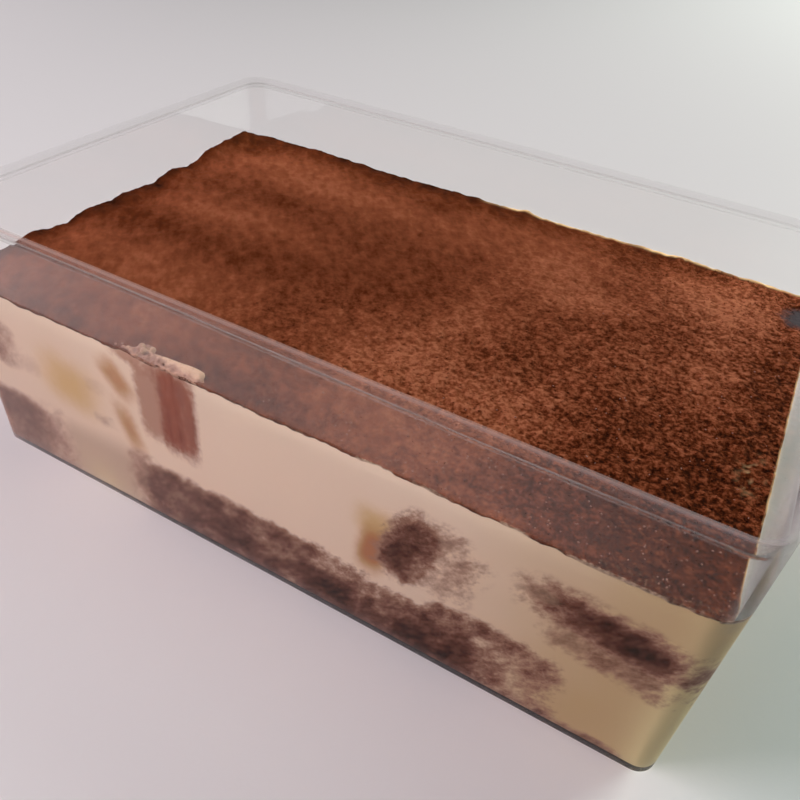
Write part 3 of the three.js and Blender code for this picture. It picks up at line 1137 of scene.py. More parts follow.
@dataclass
class Crust:
    """The cocoa crust over the whole top."""

    form: CrustForm
    finish: CocoaDust = CocoaDust()
    columns: int = 378
    rows: int = 240
    into_wall: float = 0.08
    base: float = 35.25
    thinnest: float = 0.2
    skirt: float = 0.42
    underside: float = 0.985
    crisp_angle: float = 60.0
    moist: float = 0.84
    drier_along: Pair = (-20.0, 30.0)
    damp_back: Border = Border(0.5, 2.8)
    damp_back_ends: Pair = (56.0, 44.0)
    damp_left: Border = Border(0.4, 2.2)
    damp_edge: Border = Border(0.25, 1.6, power=1)
    damp_edge_ends: Pair = (-38.0, -30.0)
    cream_right: Border = Border(1.0, 0.16, power=4)
    cream_back: Border = Border(1.0, 0.5)
    cream_back_from: Pair = (-6.0, 4.0)
    flecks: Patch = Patch(61.8, -15.5, 1.5, 3.2, 0.4)
    grey_spot_patch: Patch = Patch(64.0, 31.4, 5.2, 4.4, 1.3)
    smeared_along: Pair = (6.0, 14.0)
    smeared_top: float = 0.34

    def __post_init__(self) -> None:
        """Work out where the walls' inner faces are at the crust."""
        tray = self.form.tray
        self.half_x, self.half_y = tray.half_sizes(self.form.level, tray.wall)

    def plan(self) -> tuple[np.ndarray, np.ndarray]:
        """Lay out a grid over the top, rounded at the corners.

        Returns:
            X and Y of its points, by row and column.
        """
        tray = self.form.tray
        inset = tray.wall - self.into_wall
        half_x, half_y = tray.half_sizes(self.form.level, inset)
        radius = tray.radius(self.form.level, inset)
        y = half_y * np.linspace(-1, 1, self.rows + 1)
        past = np.maximum(0, np.abs(y) - (half_y - radius))
        reach = half_x - radius + np.sqrt(np.maximum(0, radius**2 - past**2))
        x = reach[:, None] * np.linspace(-1, 1, self.columns + 1)[None, :]
        return x, np.broadcast_to(y[:, None], x.shape)

    def from_wall(self, x: np.ndarray, y: np.ndarray) -> np.ndarray:
        """Distance to the nearest wall."""
        return np.minimum(self.half_x - np.abs(x), self.half_y - np.abs(y))

    def moisture(self, x: np.ndarray, y: np.ndarray) -> np.ndarray:
        """How moist and dark the cocoa is: more in the patches and at the walls.

        Args:
            x, y: places, of one shape.

        Returns:
            Its moisture at every place, from about -0.2 to 1.6.
        """
        wet = self.moist + 0.07 * noise2(x / 5, y / 4, 62)
        wet = wet - 0.13 * smoothstep(*self.drier_along, x) + 0.05 * smoothstep(-30, -50, x)
        for patch in PATCHES:
            wet = wet + patch.cover(x, y)
        edge = self.damp_edge.cover(self.from_wall(x, y)) * smoothstep(*self.damp_edge_ends, y)
        back = self.damp_back.cover(self.half_y - y) * smoothstep(*self.damp_back_ends, x)
        left = self.damp_left.cover(self.half_x + x) * (0.7 + 0.6 * noise2(y / 3.3, 0.5, 63))
        return np.clip(wet + edge + back + left, -0.2, 1.6)

    def cream_show(self, x: np.ndarray, y: np.ndarray) -> np.ndarray:
        """Where cream shows: between the crust and two walls, and as flecks.

        Args:
            x, y: places, of one shape.

        Returns:
            A share in 0..1 at every place.
        """
        right = self.cream_right.cover(self.half_x - x) * (0.75 + 0.8 * noise2(y / 1.3, 0.5, 71))
        flecks = np.clip(noise2(x / 0.6, y / 0.65, 73) * 3 - 0.9, 0, 1) * self.flecks.cover(x, y)
        back = self.cream_back.cover(self.half_y - y) * smoothstep(*self.cream_back_from, x)
        back = back * (0.7 + 0.7 * noise2(x / 3.7, 0.5, 72))
        return np.clip(right + back + flecks, 0, 1)

    def grey_spot(self, x: np.ndarray, y: np.ndarray) -> np.ndarray:
        """Where the cocoa is grey, at the back right corner."""
        return np.clip(self.grey_spot_patch.strength - np.sqrt(self.grey_spot_patch.far(x, y)), 0, 1)

    def hem(self, outline: np.ndarray) -> np.ndarray:
        """The ragged lower edge of the crust's flank.

        Args:
            outline: the top's edge, an N by 3 array.

        Returns:
            The points straight below it.
        """
        lower = outline.copy()
        along = lower[:, 0] + lower[:, 1]
        ragged = 0.26 * noise2(along / 2.3, 0.5, 81) + 0.17 * noise2(along / 0.9, 0.5, 82)
        lower[:, 2] -= np.maximum(self.thinnest, self.skirt + ragged)
        return lower

    def flank_faces(self, edge: np.ndarray, start: int) -> list[tuple[int, ...]]:
        """Close the crust from its top's edge down the flank and across the underside.

        Args:
            edge: the numbers of the points round the top, anticlockwise.
            start: the number of the first point below them.

        Returns:
            The faces.
        """
        count = len(edge)
        hub = start + 2 * count
        faces: list[tuple[int, ...]] = []
        for k in range(count):
            n = (k + 1) % count
            faces.append((edge[n], edge[k], start + k, start + n))
            faces.append((start + n, start + k, start + count + k, start + count + n))
            faces.append((start + count + n, start + count + k, hub))
        return faces

    def seam(self, top: np.ndarray, edge: np.ndarray) -> np.ndarray:
        """How much cream is smeared over the flank and the top's front edge.

        Args:
            top: the points of the top, an N by 3 array.
            edge: the numbers of those round it.

        Returns:
            A share for each point of the whole crust.
        """
        x, y, _ = top[edge].T
        at_corner = smoothstep(59, 62, x) * smoothstep(-36, -39, y)
        wet = (0.5 + 0.35 * smoothstep(*self.smeared_along, x)) * (y < 0)
        wet = np.maximum(wet * np.clip(0.7 + noise2((x + y) / 3.1, 1.5, 83), 0, 1), 0.8 * at_corner)
        near_wall = smoothstep(12.0, 56.0, top[:, 0]) * smoothstep(-35.5, -40.0, top[:, 1])
        above = np.zeros(len(top))
        above[edge] = 0.7 * wet
        return np.concatenate([np.maximum(above, self.smeared_top * near_wall), wet, wet, [0.0]])

    def build(self) -> Thing:
        """Make and dress the crust.

        Returns:
            The crust, closed.
        """
        x, y = self.plan()
        z = np.maximum(self.base + self.thinnest, self.form.height(x, y))
        top = np.stack([x, y, z], -1).reshape(-1, 3)
        index = np.arange(len(top)).reshape(x.shape)
        quads = [index[:-1, :-1], index[:-1, 1:], index[1:, 1:], index[1:, :-1]]
        edge = np.concatenate([index[0, :-1], index[:-1, -1], index[-1, :0:-1], index[:0:-1, 0]])
        lower = self.hem(top[edge])
        inner = lower.copy()
        inner[:, :2] *= self.underside
        inner[:, 2] = self.base
        points = np.vstack([top, lower, inner, [[0, 0, self.base]]])
        faces = np.stack(quads, -1).reshape(-1, 4).tolist() + self.flank_faces(edge, len(top))
        crust = make_object("cocoa_crust", points, faces)
        shade(crust, self.crisp_angle)
        x, y, _ = points.T
        store(crust, "moist", self.moisture(x, y))
        store(crust, "relief", self.form.grains(x, y))
        store(crust, "coarse", self.form.coarseness(x, y))
        store(crust, "cream_show", self.cream_show(x, y))
        store(crust, "grey_spot", self.grey_spot(x, y))
        store(crust, "seam", self.seam(top, edge))
        crust.data.materials.append(self.finish.build())
        return crust


# -------------------------------------------------------------------- the layers


class Kind(Enum):
    """What shows through the wall: each is a number on the food's points."""

    SOAK = "soak"
    TONE = "tone"
    DRY = "dry"
    TAN = "tan"
    FILM = "film"
    SMEAR = "smear"


@dataclass(frozen=True)
class Stain:
    """One soft area of a cross-section, running through from front to back.

    Fields:
        kind: what it is.
        x, z: its middle on the front wall.
        half_x, half_z: its half sizes.
        tilt: degrees that it is turned, anticlockwise on the front wall.
        square: 1 for an oval, more for a box with rounded corners.
        edge: how far its soft edge reaches, in millimetres.
        strength: its share in the middle, or for TONE how much darker it is.
        drift: how far it has moved along X and Z at the back wall.
        depth: how deep it goes in from the front, or None for all the way.
    """

    kind: Kind
    x: float
    z: float
    half_x: float
    half_z: float
    tilt: float = 0.0
    square: float = 1.6
    edge: float = 2.0
    strength: float = 1.0
    drift: Pair = (0.0, 0.0)
    depth: float | None = None

    def cover(self, points: np.ndarray, through: np.ndarray, width: float) -> np.ndarray:
        """How much of it there is at each point, before its strength.

        Args:
            points: an N by 3 array.
            through: 0 at the front wall to 1 at the back wall.
            width: the distance between these walls.

        Returns:
            N numbers in 0..1.
        """
        dx = points[:, 0] - self.x - self.drift[0] * through
        dz = points[:, 2] - self.z - self.drift[1] * through
        u, v = rotated(dx, dz, -self.tilt)
        power = 2 * self.square
        far = (np.abs(u / self.half_x) ** power + np.abs(v / self.half_z) ** power) ** (1 / power)
        beyond = (far - 1) * min(self.half_x, self.half_z)
        share = smoothstep(self.edge, -self.edge, beyond)
        if self.depth is not None:
            share = share * (through * width < self.depth)
        return share


def soak(x: float, z: float, half_x: float, half_z: float, **more: object) -> Stain:
    """Crumb that coffee has soaked."""
    return Stain(Kind.SOAK, x, z, half_x, half_z, **more)


def darker(x: float, z: float, half_x: float, half_z: float, strength: float, **more: object) -> Stain:
    """A darker place in the crumb, or a milkier one where the strength is negative."""
    return Stain(Kind.TONE, x, z, half_x, half_z, strength=strength, **more)


def soaked_layers() -> tuple[Stain, ...]:
    """Gather the stains of every finger, and of the smear on the front wall.

    Returns:
        The stains.
    """
    left_floor = (
        soak(-60.0, 5.0, 11.8, 9.2, square=2.6, edge=2.0, strength=0.95, drift=(3, 0.5)),
        soak(-48.6, 4.8, 4.2, 8.6, square=1.8, edge=2.6, strength=0.9, drift=(3, 0.5)),
        darker(-60.0, 11.0, 6.0, 4.0, 0.08, edge=3.0),
        darker(-57.0, 6.5, 5.0, 6.0, -0.02, edge=4.0),
        darker(-47.0, 4.5, 5.0, 10.0, -0.20, edge=3.0),
    )
    long_floor = (
        soak(-5.0, 4.2, 24.6, 9.7, square=3.6, edge=1.7, drift=(-4, 0.4)),
        soak(-26.4, 8.5, 3.6, 5.4, edge=2.4, strength=0.9, drift=(-4, 0.4)),
        soak(32.0, 2.6, 17.2, 9.6, square=3.6, edge=1.7, drift=(3, -0.8)),
        soak(38.5, 5.8, 11.0, 9.6, tilt=1.5, square=2.6, edge=1.7, drift=(3, -0.8)),
        soak(54.0, 0.8, 5.5, 1.5, edge=0.8, strength=0.9),
        darker(14.0, 2.6, 21.0, 5.0, 0.10, tilt=-2, edge=3.0),
        darker(31.0, 4.5, 7.0, 5.0, 0.16, edge=3.0),
        darker(29.0, 6.0, 14.0, 9.0, -0.09, edge=4.0),
        darker(-8.0, 6.0, 3.6, 3.0, 0.12, edge=2.6),
        darker(2.0, 6.8, 4.0, 5.0, -0.12, edge=2.6),
        darker(8.5, 9.0, 3.0, 3.0, -0.06, edge=2.6),
        darker(-14.0, 6.0, 11.5, 8.0, 0.02, edge=4.0),
        darker(11.5, 4.0, 4.0, 3.0, 0.16, edge=3.0),
        darker(-28.0, 5.0, 3.6, 9.0, -0.05, edge=3.4),
        darker(30.0, 4.0, 3.0, 2.6, 0.09, edge=2.4),
        darker(34.5, 10.0, 3.6, 3.6, -0.06, edge=2.6),
        darker(36.5, 13.0, 3.0, 2.2, -0.08, edge=2.4),
        darker(46.0, 8.0, 7.2, 9.0, -0.20, edge=4.0, drift=(3, 0)),
        darker(40.5, 8.5, 4.0, 4.0, -0.05, edge=3.0),
        darker(38.0, 13.8, 9.0, 1.4, 0.14, edge=1.4),
        darker(15.5, 11.2, 5.5, 2.6, -0.19, edge=2.4),
    )
    upper_left = (
        soak(-62.0, 27.0, 9.2, 5.1, tilt=-14, edge=2.2, strength=1.0),
        darker(-61.0, 26.5, 3.4, 2.6, 0.12, edge=2.4),
        soak(-55.0, 26.6, 3.2, 2.5, tilt=-35, edge=2.4, strength=0.65, depth=3),
        soak(-50.6, 23.4, 2.2, 1.8, edge=2.2, strength=0.35, depth=3),
        darker(-54.0, 25.5, 6.0, 4.0, -0.25, edge=2.4),
    )
    upper_dry = (
        Stain(Kind.DRY, -41.0, 23.4, 5.4, 4.6, tilt=-10, edge=4.8, drift=(4, 1)),
        Stain(Kind.TAN, -29.0, 29.8, 4.0, 2.5, tilt=-52, edge=1.8, strength=0.74),
        Stain(Kind.TAN, -28.2, 19.6, 4.8, 2.0, tilt=-74, edge=1.8, strength=0.74, drift=(0, 3)),
        soak(-34.5, 25.6, 1.8, 1.4, edge=1.7, strength=0.22, depth=3),
        soak(-34.0, 18.4, 2.0, 1.2, edge=1.5, strength=0.6, depth=3),
        darker(-34.0, 22.0, 4.0, 6.0, -0.25, edge=2.4),
    )
    upper_middle = (
        Stain(Kind.TAN, 18.6, 19.4, 4.2, 2.1, tilt=80, edge=2.1, strength=1.15),
        darker(16.9, 20.0, 1.4, 4.5, -0.45, edge=1.6),
        Stain(Kind.DRY, 18.8, 25.2, 3.0, 2.8, edge=2.4, strength=0.85),
        darker(17.6, 25.4, 1.8, 2.6, -0.5, edge=1.6),
        soak(24.6, 23.2, 7.6, 4.9, tilt=62, edge=2.1, drift=(-2, 0.5)),
        soak(30.2, 25.0, 5.0, 5.0, tilt=-30, edge=3.2, strength=0.8),
        soak(29.6, 19.4, 3.8, 2.8, edge=2.6, strength=0.7),
        darker(23.2, 20.4, 5.0, 3.0, 0.07, tilt=62, edge=2.8),
        darker(24.6, 24.0, 3.6, 3.2, 0.06, edge=2.4),
        darker(31.6, 22.5, 4.0, 6.4, -0.26, edge=3.0),
    )
    upper_right = (
        soak(54.0, 25.2, 11.8, 4.4, tilt=-7, square=1.6, edge=2.6, drift=(2, -1)),
        soak(44.2, 27.0, 3.8, 1.8, tilt=-10, edge=1.5, strength=0.8),
        darker(44.4, 27.0, 2.4, 2.4, -0.12, edge=2.0),
        darker(48.6, 25.2, 3.2, 2.6, -0.13, edge=2.2),
        darker(60.5, 25.6, 3.0, 2.2, -0.04, edge=2.2),
        soak(56.2, 20.6, 7.4, 3.2, tilt=-6, edge=2.6, strength=0.9),
        darker(64.0, 24.0, 2.8, 5.0, -0.28, edge=2.4),
        soak(48.5, 21.4, 4.2, 3.0, edge=2.4, strength=0.75),
        soak(41.0, 26.8, 1.2, 1.0, edge=1.0, strength=0.6, depth=3),
        darker(54.5, 25.4, 9.6, 1.8, 0.36, tilt=-9, edge=2.4, drift=(0, -1)),
        darker(58.0, 19.4, 8.0, 2.6, -0.11, edge=2.2),
        darker(50.5, 21.0, 3.0, 2.4, 0.08, edge=2.2),
        darker(46.0, 20.0, 3.4, 2.6, -0.08, edge=2.0),
    )
    smear = (
        Stain(Kind.SMEAR, -16.5, 28.2, 3.7, 8.9, tilt=-3, square=3.0, edge=1.4, strength=1.0, depth=3),
        Stain(Kind.SMEAR, -18.6, 34.5, 5.6, 1.6, edge=1.4, strength=0.5, depth=3),
        Stain(Kind.FILM, -24.6, 35.9, 3.6, 1.3, tilt=-6, edge=1.3, strength=1.2, depth=3),
        Stain(Kind.FILM, -20.4, 29.0, 4.4, 8.6, tilt=-1, square=3.4, edge=1.4, strength=1.05, depth=3),
    )
    return left_floor + long_floor + upper_left + upper_dry + upper_middle + upper_right + smear


@dataclass(frozen=True)
class Finger:
    """A sponge finger's section: ends, heights and rounding, as in the frame."""

    name: str
    slot: str
    x0: float
    x1: float
    z0: float
    z1: float
    rounding: float
    wander: float = 0.5


FINGERS = (
    Finger("sponge_bottom_left", "soaked_sponge", -90.0, -44.2, -4.0, 13.9, 3.2),
    Finger("sponge_bottom_middle", "soaked_sponge", -29.0, 18.4, -4.0, 13.8, 3.0),
    Finger("sponge_bottom_right", "soaked_sponge", 19.4, 49.0, -4.0, 15.0, 3.6),
    Finger("sponge_upper_left", "soaked_sponge", -90.0, -53.0, 21.8, 31.0, 4.2),
    Finger("sponge_upper_dry", "dry_sponge", -47.5, -26.8, 16.8, 31.6, 6.2),
    Finger("sponge_upper_middle", "soaked_sponge", 17.0, 34.0, 16.2, 29.8, 5.8),
    Finger("sponge_upper_right", "soaked_sponge", 42.0, 90.0, 17.6, 29.6, 5.2, wander=0.6),
)


@dataclass(frozen=True)
class CreamTones:
    """How the cream differs from place to place, partly by painted shade and painted light. Pairs are where
    a fade starts and is full.
    """

    # Painted light at the right front corner: its reach, its strength and how it fades upwards.
    lit_corner_reach: Pair = (5.0, 9.0)
    lit_corner_share: float = 0.7
    lit_corner_fades: Pair = (18.0, 32.0)
    gap_middle: float = -38.0
    gap_reach: Pair = (6.0, 8.0)
    gap_share: float = 0.4
    thinned_left: Pair = (-49.0, -43.0)
    thinned_right: Pair = (-26.0, -31.0)
    thinned_top: Pair = (18.0, 10.0)
    # Darker towards the left end.
    left_end_darkening: Pair = (-24.0, -44.0)
    left_end_darkening_share: float = 0.3
    # Painted shade on the cream, growing towards the right end and low down there.
    painted_shade_along: Pair = (15.0, 66.0)
    painted_shade_lean: float = 0.15
    painted_shade_level: float = 18.0
    painted_shade_foot: float = 0.12
    painted_shade_foot_top: Pair = (14.0, 4.0)
    painted_shade_foot_along: Pair = (40.0, 54.0)

    def corner(self, points: np.ndarray, half_x: float, half_y: float) -> np.ndarray:
        """How yellow it is: painted light at the right front corner, which lifts the shade of the rounded
        corner and tints it, and the cream's own yellow between the fingers on the floor.

        Args:
            points: an N by 3 array.
            half_x, half_y: how far the right and the front wall are from the middle.

        Returns:
            N shares in 0..1.
        """
        x, y, z = points.T
        reach_x, reach_y = self.lit_corner_reach
        corner = np.exp(-(((half_x - x) / reach_x) ** 2)) * np.exp(-(((y + half_y) / reach_y) ** 2))
        corner = corner * (1 - 0.5 * smoothstep(*self.lit_corner_fades, z))
        gap = np.exp(-(((x - self.gap_middle) / self.gap_reach[0]) ** 2) - (z / self.gap_reach[1]) ** 2)
        return np.clip(self.lit_corner_share * corner + self.gap_share * gap, 0, 1)

    def dilute(self, x: np.ndarray, z: np.ndarray) -> np.ndarray:
        """How far coffee has thinned it between the fingers on the floor, and how much darker it is towards
        the left end.

        Args:
            x, z: places.

        Returns:
            A share in 0..1 at every place.
        """
        between = smoothstep(*self.thinned_left, x) * smoothstep(*self.thinned_right, x)
        between = between * smoothstep(*self.thinned_top, z)
        return np.maximum(between, self.left_end_darkening_share * smoothstep(*self.left_end_darkening, x))

    def painted_shade(self, x: np.ndarray, z: np.ndarray) -> np.ndarray:
        """How much painted shade it has: more towards the right, and low down there.

        Args:
            x, z: places.

        Returns:
            A number at every place, up to a little over 1.
        """
        right = smoothstep(*self.painted_shade_along, x - self.painted_shade_lean * (z - self.painted_shade_level))
        foot = smoothstep(*self.painted_shade_foot_top, z)
        return right + self.painted_shade_foot * foot * smoothstep(*self.painted_shade_foot_along, x)


@dataclass
class Layers:
    """The cream, the sponge fingers in it, and the smear on the front wall."""

    tray: TrayForm
    crust: CrustForm
    finish: LayeredFood = LayeredFood()
    tones: CreamTones = CreamTones()
    into_wall: float = 0.05
    stand_out: float = 0.02
    overlap: float = 0.1
    mesh_step: float = 0.55
    corner_steps: int = 10
    cream_top: float = 35.2
    shoulder: float = 2.0
    under_crust: float = 0.18
    past_walls: float = 3.0
    stations: int = 29
    arc_steps: int = 7
    crisp_angle: float = 35.0
    middle: float = 20.0
    base_tone: float = 0.60
    wander_x: float = 2.2
    wander_z: float = 1.7
    smear_outline: tuple[Pair, ...] = ((-24.0, 20.6), (-14.6, 20.6), (-12.6, 34.2), (-23.6, 34.2))
    smear_depth: float = 1.1
    stains: tuple[Stain, ...] = field(default_factory=soaked_layers)

    def block(self, name: str, grow: float) -> Thing:
        """All that is below the crust, closely meshed where it meets the walls.

        Args:
            name: the object's name.
            grow: how far its sides stand out beyond their usual place.

        Returns:
            The closed mesh.
        """
        t = self.tray
        steps = (round(t.length / self.mesh_step), round(t.width / self.mesh_step))
        into = self.into_wall + grow
        rings = []
        for angle in np.linspace(0, math.pi / 2, 5):
            reach = t.floor_fillet + into
            z = t.floor + t.floor_fillet - reach * math.cos(angle)
            inset = t.wall + t.floor_fillet - reach * math.sin(angle)
            rings.append(t.ring(z, inset, straight=steps, arc=self.corner_steps))
        low = rings[-1]
        high = t.ring(self.crust.level, t.wall - into, straight=steps, arc=self.corner_steps)
        top = self.crust.broad(high[:, 0], high[:, 1]) - self.under_crust
        rise = (self.crust.level - low[:, 2])[:, None]
        for share in np.linspace(0, 1, round(float(rise[0, 0]) / self.mesh_step))[1:]:
            z = low[:, 2] + share * (top - low[:, 2])
            along = ((z - low[:, 2]) / rise[:, 0])[:, None]
            ring = low * (1 - along) + high * along
            ring[:, 2] = z
            rings.append(ring)
        rings.append(t.ring(self.cream_top, t.wall + self.shoulder, straight=steps, arc=self.corner_steps))
        return make_object(name, *skin(rings))

    def bar(self, finger: Finger, seed: int, grow: float) -> Thing:
        """One finger, longer than the tray is wide, with its outline wandering.

        Args:
            finger: its section.
            seed: picks how it wanders, as in the frame.
            grow: how much larger than the section it is all round.

        Returns:
            The closed mesh.
        """
        reach = self.tray.width / 2 + self.past_walls
        rings = []
        for s in range(self.stations):
            y = reach - 2 * reach * s / (self.stations - 1)
            # The frame's solid has seven stations, 1.7 apart in the noise.
            at = s * 6 / (self.stations - 1) * 1.7 + 0.5
            shift = [finger.wander * float(noise2(at, k * 3.1, seed)) for k in (1, 2, 3, 4)]
            x0, x1 = finger.x0 + shift[0] - grow, finger.x1 + shift[1] + grow
            z0, z1 = finger.z0 + shift[2] - grow, finger.z1 + shift[3] + grow
            radius = finger.rounding + grow
            outline = []
            for cx, cz, start in (
                (x1 - radius, z0 + radius, -90),
                (x1 - radius, z1 - radius, 0),
                (x0 + radius, z1 - radius, 90),
                (x0 + radius, z0 + radius, 180),
            ):
                for k in range(self.arc_steps + 1):
                    a = math.radians(start + 90 * k / self.arc_steps)
                    outline.append((cx + radius * math.cos(a), y, cz + radius * math.sin(a)))
            rings.append(np.array(outline))
        return make_object(finger.name + "_bar", *skin(rings))

    def paint(self, thing: Thing) -> None:
        """Store on a piece's points how much of each stain and tone shows there.

        Args:
            thing: the piece, in its place.
        """
        points = mesh_points(thing)
        half_x, half_y = self.tray.half_sizes(self.middle, self.tray.wall)
        through = np.clip((points[:, 1] + half_y) / (2 * half_y), 0, 1)
        wander = points.copy()
        side = smoothstep(0.02, 0.3, through)
        wander[:, 0] += side * self.wander_x * noise2(points[:, 1] / 13, points[:, 2] / 30, 91)
        wander[:, 2] += side * self.wander_z * noise2(points[:, 1] / 9, points[:, 0] / 40, 92)
        for kind in Kind:
            own = [stain for stain in self.stains if stain.kind is kind]
            covers = np.array([stain.cover(wander, through, 2 * half_y) for stain in own])
            strengths = np.array([stain.strength for stain in own])[:, None]
            if kind is Kind.TONE:
                share = self.base_tone + (covers * strengths).sum(0)
            elif kind is Kind.SOAK:
                share = covers.max(0)
                store(thing, "soak_strength", (covers * strengths).max(0) / np.maximum(share, 1e-6))
            else:
                share = (covers * strengths).max(0)
            store(thing, kind.value, share)
        store(thing, "corner", self.tones.corner(points, half_x, half_y))
        store(thing, "dilute", self.tones.dilute(points[:, 0], points[:, 2]))
        store(thing, "painted_shade", self.tones.painted_shade(points[:, 0], points[:, 2]))

    def smear_plate(self) -> Thing:
        """Make what cuts out the cocoa dragged down the inside of the front wall.

        Returns:
            A closed plate that reaches from outside the tray a little way in.
        """
        front = -self.tray.width / 2
        rings = []
        for y in (front + self.tray.draft + self.tray.wall + self.smear_depth, front - 1):
            rings.append(np.array([(x, y, z) for x, z in self.smear_outline]))
        return make_object("smear_plate", *skin(rings))

    def build(self) -> dict[str, Thing]:
        """Make and dress every piece.

        Returns:
            The pieces, by the name of the node that each stands for.
        """
        material = self.finish.build()
        pieces: dict[str, Thing] = {}
        cream = self.block("cream_body", 0.0)
        for seed, finger in enumerate(FINGERS, start=1):
            piece = self.block(finger.name + "_crumb", self.stand_out)
            cut(piece, self.bar(finger, seed, 0.0), Cut.INTERSECT)
            cut(cream, self.bar(finger, seed, -self.overlap), Cut.DIFFERENCE)
            pieces[finger.name] = piece
        smear = self.block("cocoa_smear_film", self.stand_out)
        cut(smear, self.smear_plate(), Cut.INTERSECT)
        pieces["cocoa_smear"] = smear
        pieces["cream"] = cream
        for piece in pieces.values():
            self.paint(piece)
            shade(piece, self.crisp_angle)
            piece.data.materials.clear()
            piece.data.materials.append(material)
        return pieces


# ----------------------------------------------------------------- ridge and crumbs


@dataclass
class Ridge:
    """Cream squeezed up along the front wall, fused from many small balls.

    Each ball is its middle's X, Y and height above the crust, and its radius.
    """

    crust: CrustForm
    finish: CreamRidge = CreamRidge()
    voxel: float = 0.16
    smoothing: int = 3
    seed: int = 17
    crest_from: float = -20.8
    crest_length: float = 9.1
    crest_steps: int = 40
    foot_from: float = -24.5
    foot_length: float = 12.6
    foot_steps: int = 60
    foot_radius: float = 0.42
    clot_middle: float = -23.4
    clot_balls: int = 46
    wall_ends: Pair = (-27.0, -10.5)
    wall_balls: int = 26
    lump_balls: tuple[Ball, ...] = (
        (-23.4, 1.6, 0.75, 0.56),
        (-22.5, 1.0, 0.6, 0.55),
        (-21.3, 1.7, 0.8, 0.5),
    )

    def crest(self, front: float) -> list[Ball]:
        """The ridge itself, two rows of balls that grow towards the right.

        Args:
            front: the inner face of the front wall.

        Returns:
            The balls.
        """
        balls = []
        for t in np.linspace(0, 1, self.crest_steps):
            x = self.crest_from + self.crest_length * t
            y = front + 1.15 + 0.25 * math.sin(3.0 * t)
            thick = smooth_rise(t, 0.1, 0.9)
            uneven = 0.05 * math.sin(9.0 * t)
            balls.append((x, y, 0.42 + 0.2 * thick + uneven, 0.36 + 0.22 * thick))
            balls.append((x + 0.2, y - 0.3, 0.16 + 0.2 * thick, 0.34 + 0.12 * thick - uneven))
        return balls

    def foot(self, front: float, draw: np.random.Generator) -> list[Ball]:
        """The foot that joins the ridge to the wall.

        Args:
            front: the inner face of the front wall.
            draw: where the random numbers come from.

        Returns:
            The balls.
        """
        balls = []
        for t in np.linspace(0, 1, self.foot_steps):
            x = self.foot_from + self.foot_length * t
            y = front + 0.18 + draw.uniform(0, 0.2)
            balls.append((x, y, draw.uniform(-0.45, 0.0), self.foot_radius))
        return balls

    def lumps(self, front: float, draw: np.random.Generator) -> list[Ball]:
        """A few lumps at the left end in a clot of small ones, and crumbs along the wall.

        Args:
            front: the inner face of the front wall.
            draw: where the random numbers come from.

        Returns:
            The balls.
        """
        balls = [(x, front + y, above, radius) for x, y, above, radius in self.lump_balls]
        for _ in range(self.clot_balls):
            x = draw.normal(self.clot_middle, 1.6)
            reach = 2.4 * math.exp(-(((x + 22.8) / 2.2) ** 2))
            y = front + 0.5 + reach * draw.uniform(0, 1)
            balls.append((x, y, draw.uniform(-0.15, 0.3), draw.uniform(0.24, 0.42)))
        for _ in range(self.wall_balls):
            x = draw.uniform(*self.wall_ends)
            y = front + 0.35 + draw.uniform(0, 1.3)
            balls.append((x, y, draw.uniform(-0.1, 0.1), draw.uniform(0.18, 0.3)))
        return balls

    def build(self) -> Thing:
        """Make and dress the ridge.

        Returns:
            The ridge, one closed mesh.
        """
        front = -self.crust.tray.half_sizes(self.crust.level, self.crust.tray.wall)[1]
        draw = np.random.default_rng(self.seed)
        spheres = []
        for x, y, above, radius in self.crest(front) + self.foot(front, draw) + self.lumps(front, draw):
            ground = float(self.crust.broad(np.array([x]), np.array([y]))[0])
            bpy.ops.mesh.primitive_ico_sphere_add(
                subdivisions=2, radius=radius * MM, location=(x * MM, y * MM, (ground + above) * MM)
            )
            spheres.append(bpy.context.object)
        bpy.ops.object.select_all(action="DESELECT")
        for sphere in spheres:
            sphere.select_set(True)
        bpy.context.view_layer.objects.active = spheres[0]
        bpy.ops.object.join()
        ridge = bpy.context.object
        ridge.name = "cream_ridge"
        ridge.data.transform(ridge.matrix_world)
        ridge.matrix_world = Matrix.Identity(4)
        remesh = ridge.modifiers.new("fuse", "REMESH")
        remesh.mode = "VOXEL"
        remesh.voxel_size = self.voxel * MM
        soften = ridge.modifiers.new("soften", "SMOOTH")
        soften.iterations = self.smoothing
        bake_modifiers(ridge)
        shade(ridge)
        ridge.data.materials.clear()
        ridge.data.materials.append(self.finish.build())
        return ridge


